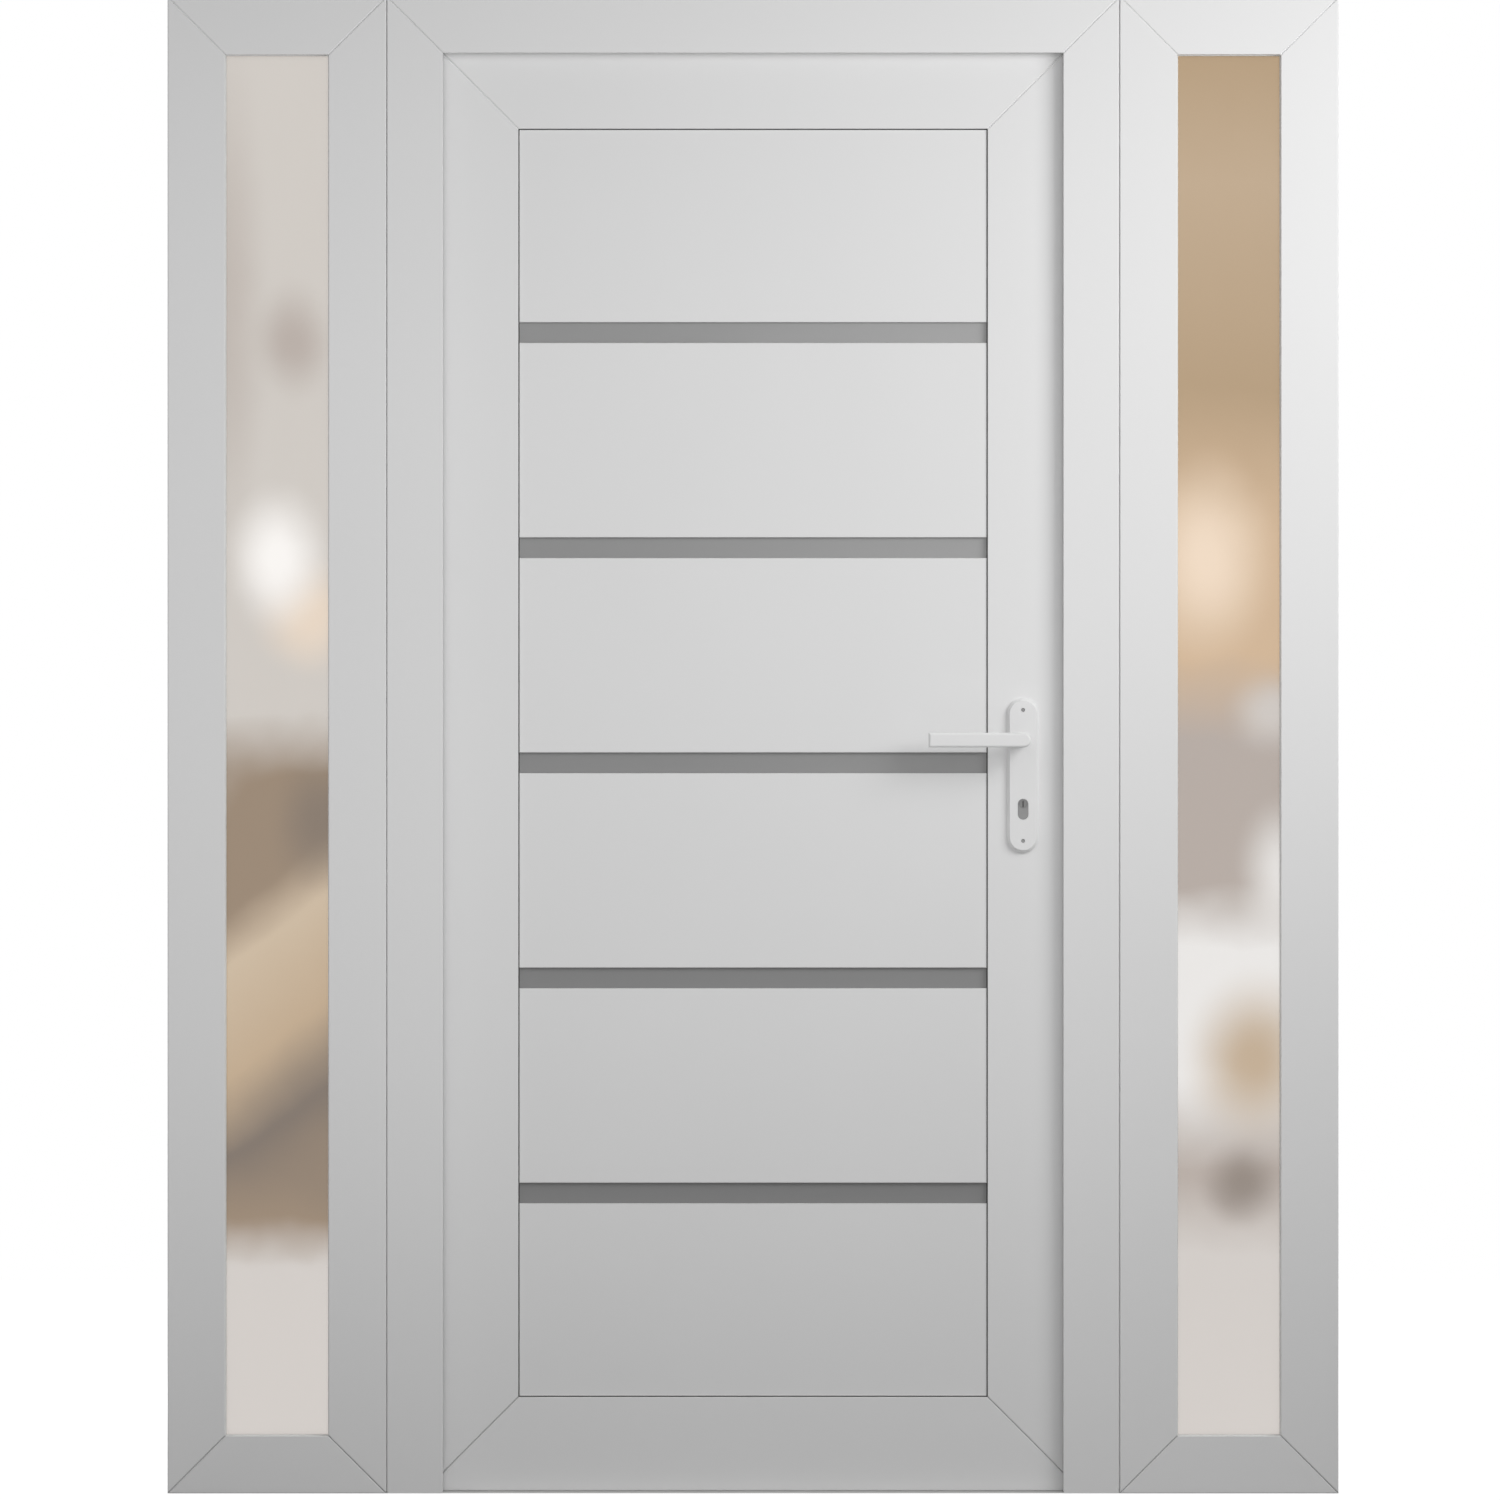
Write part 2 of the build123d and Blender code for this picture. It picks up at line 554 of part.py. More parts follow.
def infill_panel(index):
    """One panel: a core held in the rebates, with a raised field on each face."""
    first, last = index == 0, index == PANEL_COUNT - 1
    strip_below = FIRST_STRIP + (index - 1) * STRIP_PITCH
    low = FIELD_BOTTOM if first else strip_below + STRIP_HEIGHT
    high = FIELD_TOP if last else strip_below + STRIP_PITCH
    core_low = low - CORE_BEYOND_FIELD if first else low + STRIP_LAP
    core_high = high + CORE_BEYOND_FIELD if last else high - STRIP_LAP
    core_y = (LEAF_FRONT + GLAZING_V, LEAF_FRONT + BEAD_GASKET_V)
    field_x = (-FIELD_WIDTH / 2, FIELD_WIDTH / 2)
    outdoor_y = (LEAF_FRONT + FIELD_SETBACK, core_y[0])
    indoor_y = (core_y[1], core_y[1] + INDOOR_FIELD_HEIGHT)
    core = box((-CORE_WIDTH / 2, CORE_WIDTH / 2), core_y, (core_low, core_high))
    outdoor = box(field_x, outdoor_y, (low, high))
    indoor = box(field_x, indoor_y, (low, high))
    outdoor = chamfer(outdoor.faces().sort_by(Axis.Y)[0].edges(), FIELD_EDGE_BEVEL)
    indoor = chamfer(indoor.faces().sort_by(Axis.Y)[-1].edges(), FIELD_EDGE_BEVEL)
    return core + outdoor + indoor


def glass_strips():
    """Frosted sealed strips, each lapped by the fields on a core that stands out between them."""
    core_x = (-CORE_WIDTH / 2, CORE_WIDTH / 2)
    core_y = (LEAF_FRONT + GLAZING_V, LEAF_FRONT + BEAD_GASKET_V)
    band_x = (-FIELD_WIDTH / 2, FIELD_WIDTH / 2)
    band_y = (LEAF_FRONT + FIELD_SETBACK + STRIP_SETBACK, core_y[0])
    strips = []
    for index in range(PANEL_COUNT - 1):
        low = FIRST_STRIP + index * STRIP_PITCH
        high = low + STRIP_HEIGHT
        core = box(core_x, core_y, (low - STRIP_LAP, high + STRIP_LAP))
        band = box(band_x, band_y, (low + STRIP_EDGE_GAP, high - STRIP_EDGE_GAP))
        strips.append(core + band)
    return Compound(children=strips)


def leaf_gaskets():
    """The gasket on each face of the infill, all round the leaf's opening."""
    size = (LEAF_WIDTH, LEAF_OUTLINE_HEIGHT)
    place = Pos(0, LEAF_FRONT, LEAF_OUTLINE_BOTTOM + LEAF_OUTLINE_HEIGHT / 2)
    u = (LEAF_RAIL - GASKET_COVER, LEAF_RAIL + FIELD_GAP)
    outdoor = place * ring(*size, *u, LIP_THICKNESS, GLAZING_V)
    indoor = place * ring(*size, *u, BEAD_GASKET_V, BEAD_V)
    return Compound(children=[outdoor, indoor])


def bottom_sweep():
    """The flexible strip under the leaf that closes the gap to the threshold."""
    half = LOCK_EDGE_X - SWEEP_END_GAP
    carrier_low = LEAF_UNDERSIDE - SWEEP_CARRIER_HEIGHT
    carrier_y = (LEAF_FRONT, LEAF_FRONT + SWEEP_CARRIER_DEPTH)
    carrier = box((-half, half), carrier_y, (carrier_low, LEAF_UNDERSIDE))
    blade_y = (LEAF_FRONT, LEAF_FRONT + SWEEP_BLADE_THICKNESS)
    blade_low = THRESHOLD_HEIGHT + SWEEP_CLEARANCE
    return carrier + box((-half, half), blade_y, (blade_low, carrier_low))


def upright_cylinder(radius, low, high):
    """A cylinder about the leaf's hinge axis."""
    height = high - low
    align = (Align.CENTER, Align.CENTER, Align.MIN)
    return Pos(HINGE_X, HINGE_Y, low) * Cylinder(radius, height, align=align)


def hinge_plate(x, face_y, centre_z):
    """A bevelled plate screwed to an indoor face."""
    z = (centre_z - HINGE_PLATE_HEIGHT / 2, centre_z + HINGE_PLATE_HEIGHT / 2)
    plate = box(x, (face_y, face_y + HINGE_PLATE), z)
    return chamfer(plate.faces().sort_by(Axis.Y)[-1].edges(), HINGE_PLATE_BEVEL)


def hinge_frame_half(joint_z):
    """The frame's plate, with the lower barrel, which holds the pin and carries the leaf."""
    low = joint_z - FRAME_BARREL_HEIGHT
    plate_x = (HINGE_FRAME_PLATE_X - FRAME_PLATE_WIDTH, HINGE_FRAME_PLATE_X)
    arm_x = (HINGE_FRAME_PLATE_X - FRAME_ARM_WIDTH, HINGE_FRAME_PLATE_X)
    barrel = upright_cylinder(HINGE_RADIUS, low, joint_z)
    barrel = chamfer(barrel.faces().sort_by(Axis.Z)[0].edges(), BARREL_END_BEVEL)
    plate = hinge_plate(plate_x, FRAME_BACK, joint_z)
    arm = box(arm_x, (FRAME_BACK, HINGE_Y), (low + BARREL_END_BEVEL, joint_z))
    bore_radius = HINGE_PIN_RADIUS + PIN_FIXED_CLEARANCE
    return plate + arm + barrel - upright_cylinder(bore_radius, joint_z - HINGE_PIN_REACH, joint_z)


def hinge_leaf_half(joint_z):
    """The leaf's plate, with the upper barrel, which lifts off the pin and turns on it."""
    low = joint_z + BARREL_GAP
    high = low + LEAF_BARREL_HEIGHT
    plate_low_x = HINGE_X + HINGE_RADIUS + LEAF_PLATE_FROM_BARREL
    barrel = upright_cylinder(HINGE_RADIUS, low, high)
    barrel = chamfer(barrel.faces().sort_by(Axis.Z)[-1].edges(), BARREL_END_BEVEL)
    plate = hinge_plate((plate_low_x, plate_low_x + LEAF_PLATE_WIDTH), LEAF_BACK, joint_z)
    arm_z = (low, high - BARREL_END_BEVEL)
    arm_high_x = plate_low_x + LEAF_ARM_THICKNESS
    arm = box((HINGE_X, arm_high_x), (HINGE_Y - LEAF_ARM_THICKNESS, HINGE_Y), arm_z)
    foot = box((plate_low_x, arm_high_x), (LEAF_BACK, HINGE_Y), arm_z)
    bore_high = joint_z + HINGE_PIN_REACH + PIN_END_CLEARANCE
    bore = upright_cylinder(HINGE_PIN_RADIUS + PIN_TURNING_CLEARANCE, low, bore_high)
    return plate + arm + foot + barrel - bore


def hinge_pin(joint_z):
    """A plain pin, fixed in the lower barrel and standing up into the upper one."""
    return upright_cylinder(HINGE_PIN_RADIUS, joint_z - HINGE_PIN_REACH, joint_z + HINGE_PIN_REACH)


def outward(shape, face_y, outdoors=True):
    """Stands a shape drawn on XY, growing along +Z, on the leaf's face at the handle."""
    turn = Rot(90, 0, 0) if outdoors else Rot(90, 0, 0) * Rot(0, 180, 0)
    return Pos(HANDLE_X, face_y, LEVER_HEIGHT) * turn * shape


def oval_prism(width, height, depth):
    """The cylinder's oval outline, centred on its own place under the lever's axis."""
    oval = SlotOverall(height, width, rotation=90)
    return Pos(0, -CYLINDER_BELOW_LEVER, 0) * extrude(oval, depth)


def handle_holes():
    """The holes through the lock stile for the spindle and the key cylinder."""
    oval_gap = 2 * CYLINDER_CLEARANCE
    spindle_hole = extrude(Circle(SPINDLE_HOLE_RADIUS), LEAF_DEPTH)
    oval = (CYLINDER_WIDTH + oval_gap, CYLINDER_HEIGHT + oval_gap)
    return outward(spindle_hole + oval_prism(*oval, LEAF_DEPTH), LEAF_BACK)


def backplate(outdoors):
    """A long round-ended plate with a bevelled rim, a boss for the lever and an oval hole."""
    outline = SlotOverall(PLATE_HEIGHT, PLATE_WIDTH, rotation=90)
    plate = extrude(outline, PLATE_THICKNESS)
    top_rim = plate.faces().sort_by(Axis.Z)[-1].edges()
    plate = chamfer(top_rim, PLATE_BEVEL_DEPTH, PLATE_BEVEL_WIDTH)
    plate = Pos(0, -PLATE_BELOW_LEVER, 0) * plate
    boss_height = PLATE_THICKNESS + PLATE_BOSS_HEIGHT
    plate += extrude(Circle(PLATE_BOSS_RADIUS), boss_height)
    plate -= extrude(Circle(NECK_RADIUS + NECK_CLEARANCE), boss_height)
    oval_gap = 2 * CYLINDER_CLEARANCE
    plate -= oval_prism(CYLINDER_WIDTH + oval_gap, CYLINDER_HEIGHT + oval_gap, PLATE_THICKNESS)
    for end in (-1, 1):
        y = -PLATE_BELOW_LEVER + end * PLATE_SCREW_SPACING / 2
        floor = PLATE_THICKNESS - SCREW_SINK_DEPTH
        hole = extrude(Circle(SCREW_HOLE_RADIUS), SCREW_SINK_DEPTH)
        plate -= Pos(0, y, floor) * hole
    return outward(plate, LEAF_FRONT if outdoors else LEAF_BACK, outdoors)


def lever(outdoors):
    """A round neck in the plate's boss, turning into a flat bar towards the hinge side."""
    towards_hinge = -1 if outdoors else 1
    bar_low = LEVER_PROJECTION - LEVER_THICKNESS
    straight = Pos(towards_hinge * LEVER_LENGTH / 2, 0) * Rectangle(LEVER_LENGTH, LEVER_WIDTH)
    bar = extrude(Pos(0, 0, bar_low) * (Circle(LEVER_WIDTH / 2) + straight), LEVER_THICKNESS)
    tip = bar.faces().sort_by(Axis.X)[0 if outdoors else -1]
    bar = chamfer(tip.edges().sort_by(Axis.Z)[-1], LEVER_TIP_BEVEL)
    front = bar.faces().filter_by(Axis.Z).sort_by(Axis.Z)[-1]
    back = bar.faces().filter_by(Axis.Z).sort_by(Axis.Z)[0]
    sides_at = LEVER_LENGTH - 2 * LEVER_TIP_BEVEL
    front_edges = front.edges().filter_by(lambda edge: abs(edge.center().X) < sides_at)
    back_edges = back.edges().filter_by(lambda edge: abs(edge.center().X) < sides_at)
    bar = chamfer(back_edges, LEVER_BACK_BEVEL)
    bar = fillet(front_edges, LEVER_EDGE_RADIUS)
    neck = extrude(Circle(NECK_RADIUS), bar_low + LEVER_THICKNESS / 2)
    socket = extrude(Rectangle(SPINDLE_SIZE, SPINDLE_SIZE), SPINDLE_SOCKET)
    return outward(bar + neck - socket, LEAF_FRONT if outdoors else LEAF_BACK, outdoors)


def spindle():
    """The square bar through the leaf that turns both levers and the latch together."""
    y = (LEAF_FRONT - SPINDLE_SOCKET, LEAF_BACK + SPINDLE_SOCKET)
    half = SPINDLE_SIZE / 2
    x = (HANDLE_X - half, HANDLE_X + half)
    return box(x, y, (LEVER_HEIGHT - half, LEVER_HEIGHT + half))


def key_cylinder():
    """An oval lock cylinder through the leaf, with a raised plug and a keyway at each end."""
    reach = PLATE_THICKNESS - CYLINDER_SINK
    length = LEAF_DEPTH + 2 * reach
    plug_y = -CYLINDER_BELOW_LEVER + (CYLINDER_HEIGHT - CYLINDER_WIDTH) / 2
    plug = extrude(Circle(KEY_PLUG_RADIUS), length + 2 * KEY_PLUG_PROUD)
    body = oval_prism(CYLINDER_WIDTH, CYLINDER_HEIGHT, length)
    body += Pos(0, plug_y, -KEY_PLUG_PROUD) * plug
    keyway = extrude(Rectangle(KEYWAY_WIDTH, KEYWAY_HEIGHT), KEYWAY_DEPTH, both=True)
    for face in (-KEY_PLUG_PROUD, length + KEY_PLUG_PROUD):
        body -= Pos(0, plug_y, face) * keyway
    return outward(body, LEAF_BACK + reach)


def bolts(grow, length):
    """The latch bolt and the deadbolt, grown all round by a gap and of some length."""
    half_thickness = BOLT_THICKNESS / 2 + grow
    y = (LOCK_STRIP_Y - half_thickness, LOCK_STRIP_Y + half_thickness)
    x_high = LOCK_EDGE_X - LOCK_GROOVE_DEPTH + LOCK_STRIP_THICKNESS + BOLT_PROUD
    x = (x_high - length, x_high)
    shapes = []
    for centre_z, height in ((LEVER_HEIGHT, LATCH_HEIGHT), (CYLINDER_Z, DEADBOLT_HEIGHT)):
        half_height = height / 2 + grow
        shapes.append(box(x, y, (centre_z - half_height, centre_z + half_height)))
    return shapes


def bolt_pockets():
    """The pockets that the latch bolt and the deadbolt draw back into."""
    latch, deadbolt = bolts(BOLT_POCKET_GAP, BOLT_LENGTH)
    return latch + deadbolt


def latch_and_deadbolt():
    """Both bolts, drawn back level with the lock strip, the latch with a sloping nose."""
    latch, deadbolt = bolts(0, BOLT_LENGTH)
    nose = latch.faces().sort_by(Axis.X)[-1].edges().sort_by(Axis.Y)[-1]
    latch = chamfer(nose, BOLT_THICKNESS / 2)
    return Compound(children=[latch, deadbolt])


def lock_strip():
    """The long faceplate in the groove of the leaf's lock edge, cut for both bolts."""
    floor_x = LOCK_EDGE_X - LOCK_GROOVE_DEPTH
    half = LOCK_STRIP_WIDTH / 2
    middle = LEAF_UNDERSIDE + (UNIT_HEIGHT - LEAF_EDGE - LEAF_STEP - LEAF_UNDERSIDE) / 2
    x = (floor_x, floor_x + LOCK_STRIP_THICKNESS)
    y = (LOCK_STRIP_Y - half, LOCK_STRIP_Y + half)
    z = (middle - LOCK_STRIP_LENGTH / 2, middle + LOCK_STRIP_LENGTH / 2)
    return box(x, y, z) - bolt_pockets()


def strike_plate():
    """The keep on the frame's rebate, with a window for the latch and one for the bolt."""
    x_low = HALF_DOOR - DOOR_FRAME_BODY - STRIKE_THICKNESS
    half = STRIKE_WIDTH / 2
    low = CYLINDER_Z - DEADBOLT_HEIGHT / 2 - STRIKE_MARGIN
    high = LEVER_HEIGHT + LATCH_HEIGHT / 2 + STRIKE_MARGIN
    x = (x_low, x_low + STRIKE_THICKNESS)
    plate = box(x, (LOCK_STRIP_Y - half, LOCK_STRIP_Y + half), (low, high))
    plate = chamfer(plate.edges().filter_by(Axis.X), STRIKE_CORNER)
    window_half = BOLT_THICKNESS / 2 + STRIKE_WINDOW_GAP
    window_y = (LOCK_STRIP_Y - window_half, LOCK_STRIP_Y + window_half)
    for centre_z, height in ((LEVER_HEIGHT, LATCH_HEIGHT), (CYLINDER_Z, DEADBOLT_HEIGHT)):
        half_height = height / 2 + STRIKE_WINDOW_GAP
        plate -= box(x, window_y, (centre_z - half_height, centre_z + half_height))
    return plate


def all_parts():
    """Every piece by the name of its node."""
    parts = {
        **door_frame(),
        "threshold": threshold(),
        "door_frame_seal": door_frame_seal(),
        "strike_plate": strike_plate(),
        "hinge_frame_halves": Compound(children=[hinge_frame_half(z) for z in HINGE_HEIGHTS]),
        "hinge_leaf_halves": Compound(children=[hinge_leaf_half(z) for z in HINGE_HEIGHTS]),
        "hinge_pins": Compound(children=[hinge_pin(z) for z in HINGE_HEIGHTS]),
        "coupling_strips": coupling_strips(),
    }
    for side in ("left", "right"):
        parts.update(sidelight(side))
    parts.update(leaf_frame())
    parts.update(beads("leaf", LEAF_REBATE, LEAF_DEPTH, LEAF_OUTLINE))
    panels = [infill_panel(index) for index in range(PANEL_COUNT)]
    parts["infill_panels"] = Compound(children=panels)
    parts["frosted_glass_strips"] = glass_strips()
    parts["leaf_gaskets"] = leaf_gaskets()
    parts["leaf_seal"] = leaf_seal()
    parts["bottom_sweep"] = bottom_sweep()
    parts["lock_strip"] = lock_strip()
    parts["latch_and_deadbolt"] = latch_and_deadbolt()
    parts["key_cylinder"] = key_cylinder()
    parts["outdoor_backplate"] = backplate(True)
    parts["indoor_backplate"] = backplate(False)
    parts["outdoor_lever"] = lever(True)
    parts["indoor_lever"] = lever(False)
    parts["spindle"] = spindle()
    return parts


os.makedirs("parts", exist_ok=True)
for node, shape in all_parts().items():
    export_step(shape, f"parts/{node}.step")
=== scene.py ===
"""Looks of a white exterior door with a glazed sidelight on each side.

The file is laid out as an add-on. What a user would change is a property, each group of like
pieces is an operator, and main() runs the operators in order round the fixed frame.

Metres. +Z is up, +X is to the right seen from outdoors, and +Y goes indoors.
"""

import json
import math
from functools import cache, partial
from typing import NamedTuple

import bmesh
import bpy
from bpy.props import FloatProperty, FloatVectorProperty, IntProperty, PointerProperty
from bpy.types import Operator, Panel, PropertyGroup
from mathutils import Matrix, Vector


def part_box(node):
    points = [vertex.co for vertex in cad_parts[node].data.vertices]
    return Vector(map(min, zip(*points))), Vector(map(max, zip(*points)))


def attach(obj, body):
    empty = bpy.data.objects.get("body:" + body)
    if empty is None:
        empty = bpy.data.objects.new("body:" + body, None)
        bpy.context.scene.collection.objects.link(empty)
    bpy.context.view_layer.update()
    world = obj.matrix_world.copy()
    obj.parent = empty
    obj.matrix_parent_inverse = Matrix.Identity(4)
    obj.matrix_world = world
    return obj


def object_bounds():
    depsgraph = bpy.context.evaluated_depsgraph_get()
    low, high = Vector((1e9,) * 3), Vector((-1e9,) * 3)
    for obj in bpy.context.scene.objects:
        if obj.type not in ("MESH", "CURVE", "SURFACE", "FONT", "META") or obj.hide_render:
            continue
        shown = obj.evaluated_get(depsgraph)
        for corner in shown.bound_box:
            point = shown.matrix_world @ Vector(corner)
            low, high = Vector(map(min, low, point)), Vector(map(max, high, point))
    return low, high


bl_info = {
    "name": "Exterior door with two sidelights",
    "version": (1, 0, 0),
    "blender": (4, 5, 0),
    "location": "View3D > Sidebar > Door",
    "description": "Finishes, small fasteners and studio for a door unit",
    "category": "Object",
}

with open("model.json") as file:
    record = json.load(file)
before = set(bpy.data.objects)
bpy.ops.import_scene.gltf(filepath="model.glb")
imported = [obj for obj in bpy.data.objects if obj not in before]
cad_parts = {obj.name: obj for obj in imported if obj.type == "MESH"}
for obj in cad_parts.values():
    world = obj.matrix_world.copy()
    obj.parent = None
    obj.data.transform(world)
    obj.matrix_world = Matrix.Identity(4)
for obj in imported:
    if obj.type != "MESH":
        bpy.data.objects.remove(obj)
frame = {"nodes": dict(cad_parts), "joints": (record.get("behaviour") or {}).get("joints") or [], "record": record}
FRAME_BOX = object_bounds()

OUTDOORS = Vector((0, -1, 0))
INDOORS = Vector((0, 1, 0))
TO_THE_RIGHT = Vector((1, 0, 0))
UP = Vector((0, 0, 1))
LEVEL_PIECES = ("head", "rail", "end_beads", "sweep")  # words in names of pieces that lie level

# Places of the small pieces on the CAD pieces that carry them
BOSS_HEIGHT = 0.002  # the boss round a lever's neck, on its backplate
NECK_RADIUS = 0.008
GRUB_FROM_BOSS = 0.008
GRUB_HEIGHT = 0.0012
PLUG_RADIUS = 0.0054
PLUG_PROUD = 0.0005  # the key plug, on the cylinder's face
STRIP_END_MARGIN = 0.022
BOLT_MARGIN = 0.03
STRIKE_END_MARGIN = 0.014
HINGE_SCREW_REACH = 0.036  # the outermost screws, from a hinge's middle
HINGE_SCREW_FROM_EDGE = 0.008
HINGE_SCREW_STAGGER = 0.01
HINGES_APART = 0.2  # more than a pin's own length, and less than two hinges are apart
THRESHOLD_END_MARGIN = 0.06
THRESHOLD_SCREW_LINE = 0.081  # behind the threshold's outdoor edge
STRIP_SCREWS = 4  # on the lock strip, above the bolts and as many below them
HINGE_PLATE_SCREWS = 4

# Lamps, each a place, what it points at, and its width and height, and the camera's reach
KEY_LAMP = ((1.65, -1.34, 1.92), (0.2, 0, 1.3), (1.2, 1.2))
FRONT_LAMP = ((-0.71, -0.8, 1.28), (-0.71, 0, 1.28), (2.8, 2.2))
INDOOR_LAMP = ((-1.2, 3.2, 2.6), (0, 0, 1.1), (2.4, 2.4))
VIEW_DEPTH = 4  # how far the camera sees, in camera distances

# Weld lines at the mitres, darkened by a little dirt and by painted crease shade, more of both near the floor
WELD_HALF_WIDTH = 0.0005
WELD_FADED = 0.0009  # where the dirt ends, from the line's middle
WELD_SHADE_AND_DIRT_TOP = 1.9  # the heights at which there is least and most
WELD_SHADE_AND_DIRT_FOOT = 0.1
WELD_SHADE_AND_DIRT_AT_TOP = 0.08
WELD_SHADE_AND_DIRT_AT_FOOT = 0.45
WELD_SHADE_AND_DIRT_BRIGHTNESS = 0.2  # as a share of the plastic's own

# Patterns in the finishes
DRAWN_OUT = 0.004  # how much slower a pattern changes along a profile than across it
TURNED_RING_WAVES = 9000  # radians a metre, out from the key plug's middle
REFLECTED_BAND_DRIFT = 0.05  # how far noise bends the bands and patches of the reflection painted on the sidelight glass
REFLECTED_PATCH_DRIFT = 0.02
REFLECTED_PATCH_FULL = 0.1  # where a soft patch of painted reflection is full and faded, as shares of its half size
REFLECTED_PATCH_FADED = 1.35

# The floor round the door, and where it turns white
NEAR_FLOOR = 1.2
FAR_FLOOR = 4.0
NEAR_FLOOR_GLOW = 0.88
WHITE_LIGHT = (1, 1, 1, 1)
SHADOWED_GREY = (0.25, 0.25, 0.25, 1)  # what the lamps add where the floor is seen
BOUNCE_GREY = (0.3, 0.3, 0.3, 1)  # what the floor throws back on the door

# Mesh making
HEAD_SEGMENTS = 24
RING_SEGMENTS = 40
RING_SECTION_SEGMENTS = 12
TINY = 1e-7
SHARP_ANGLE = math.radians(35)
SCREW_TO_SCREW_TURN = math.radians(137.5)

# Screw heads and caps, as shares of their height or radius
RIM_BEVEL = 0.45
LAND_WIDTH = 0.2
RECESS_DEPTH = 0.75
RECESS_TAPER = 0.6
CROSS_ARM_SPREAD = 0.4  # the lower, the wider a cross recess's arms
CROSS_CORNER_REACH = 0.42


# Properties


def length(name, description, millimetres):
    """A length property whose default is given in millimetres."""
    return FloatProperty(
        name=name, description=description, default=millimetres / 1000, unit="LENGTH"
    )


def power(name, description, watts):
    """A lamp's power property."""
    return FloatProperty(name=name, description=description, default=watts, unit="POWER")


def shade(name, description, red, green, blue):
    """A colour property, in scene-linear parts."""
    return FloatVectorProperty(
        name=name,
        description=description,
        default=(red, green, blue),
        size=3,
        subtype="COLOR",
        min=0,
        max=1,
    )


class FastenerSizes(PropertyGroup):
    """Sizes of the screws, rings and caps."""

    plate_screw_radius: length("Backplate screw", "Radius of a backplate screw's head", 2.4)
    plate_screw_spacing: length("Backplate screw spacing", "Between its two screws", 178)
    plate_screw_sink: length("Backplate screw sink", "Depth of a screw's recess", 3)
    plate_screw_height: length("Backplate screw height", "Height of a head in its recess", 1.9)
    small_screw_radius: length("Small screw", "Radius of a head in the lock's plates", 3.2)
    hinge_screw_radius: length("Hinge screw", "Radius of a head in a hinge plate", 3.8)
    threshold_screw_radius: length("Threshold screw", "Radius of a head in the threshold", 4)
    raised_head: length("Raised head", "How far a hinge screw stands off its plate", 1.3)
    low_head: length("Low head", "How far a lock or threshold screw stands off", 0.6)
    grub_radius: length("Grub screw", "Radius of the grub screw under a lever's neck", 2)
    neck_ring_radius: length("Neck ring", "Middle radius of the ring round a lever's neck", 8.75)
    neck_ring_thickness: length("Neck ring thickness", "Thickness of that ring", 0.9)
    plug_ring_radius: length("Plug ring", "Middle radius of the ring round the key plug", 5.75)
    plug_ring_thickness: length("Plug ring thickness", "Thickness of that ring", 0.5)
    cap_radius: length("Hinge cap", "Radius of the cap on a hinge barrel's end", 6.6)
    cap_height: length("Hinge cap height", "Height of that cap", 1.4)
    hinge_plate: length("Hinge plate", "Thickness of a hinge plate", 5)
    threshold_screws: IntProperty(
        name="Threshold screws", description="Screws along the threshold", default=5, min=2
    )


class FinishColours(PropertyGroup):
    """Colours of the finishes."""

    plastic: shade("White plastic", "Frames, leaf and beads", 0.86, 0.86, 0.86)
    skin: shade("Panel skin", "Infill panels", 0.86, 0.86, 0.86)
    coating: shade("Powder coat", "Handles and hinges", 0.87, 0.87, 0.87)
    # The frosted strips' two colours differ by painted light: brighter at eye level, painted shade near the floor
    frost_painted_light: shade("Frosted strip, high", "Frosted glass at eye level", 0.365, 0.365, 0.365)
    frost_painted_shade: shade("Frosted strip, low", "Frosted glass near the floor", 0.235, 0.235, 0.235)
    rubber: shade("Rubber", "Gaskets and seals of the door", 0.05, 0.05, 0.05)
    pale_rubber: shade("Pale rubber", "Gaskets round the sidelight glass", 0.78, 0.78, 0.77)
    aluminium: shade("Aluminium", "Threshold and spacers", 0.62, 0.62, 0.61)
    nickel: shade("Nickel", "Body of the key cylinder", 0.31, 0.31, 0.31)
    plug: shade("Plug", "Turning plug of the key cylinder", 0.25, 0.25, 0.25)
    zinc: shade("Zinc plate", "Lock strip, bolts and strike plate", 0.55, 0.55, 0.54)
    screw: shade("Screw steel", "Screws and grub screws", 0.42, 0.42, 0.42)
    nylon: shade("Nylon", "Rings round the lever necks", 0.7, 0.7, 0.69)


class StudioSizes(PropertyGroup):
    """Places and strengths of the camera, lamps and surroundings."""

    camera_distance: length("Camera distance", "In front of the frame's face", 20000)
    view_width: length("View width", "What the picture spans at the frame's face", 2033.4)
    camera_aside: length("Camera aside", "Camera to the right of the door's middle", -4.1)
    camera_height: length("Camera height", "Camera above the floor", 1009.5)
    key_power: power("Key lamp", "Power of the lamp high on the right", 25)
    front_power: power("Front lamp", "Power of the wide lamp in front", 9)
    indoor_power: power("Indoor lamp", "Power of the lamp behind the door", 90)
    surroundings: FloatProperty(
        name="Surroundings", description="Soft light from all round", default=0.2, min=0
    )
    floor_size: length("Floor size", "Length of the floor's sides", 16000)


def fasteners():
    """The fastener sizes in use."""
    return bpy.context.scene.door_fasteners


def colours():
    """The finish colours in use."""
    return bpy.context.scene.door_colours


def studio():
    """The studio sizes in use."""
    return bpy.context.scene.door_studio


# Shader maths


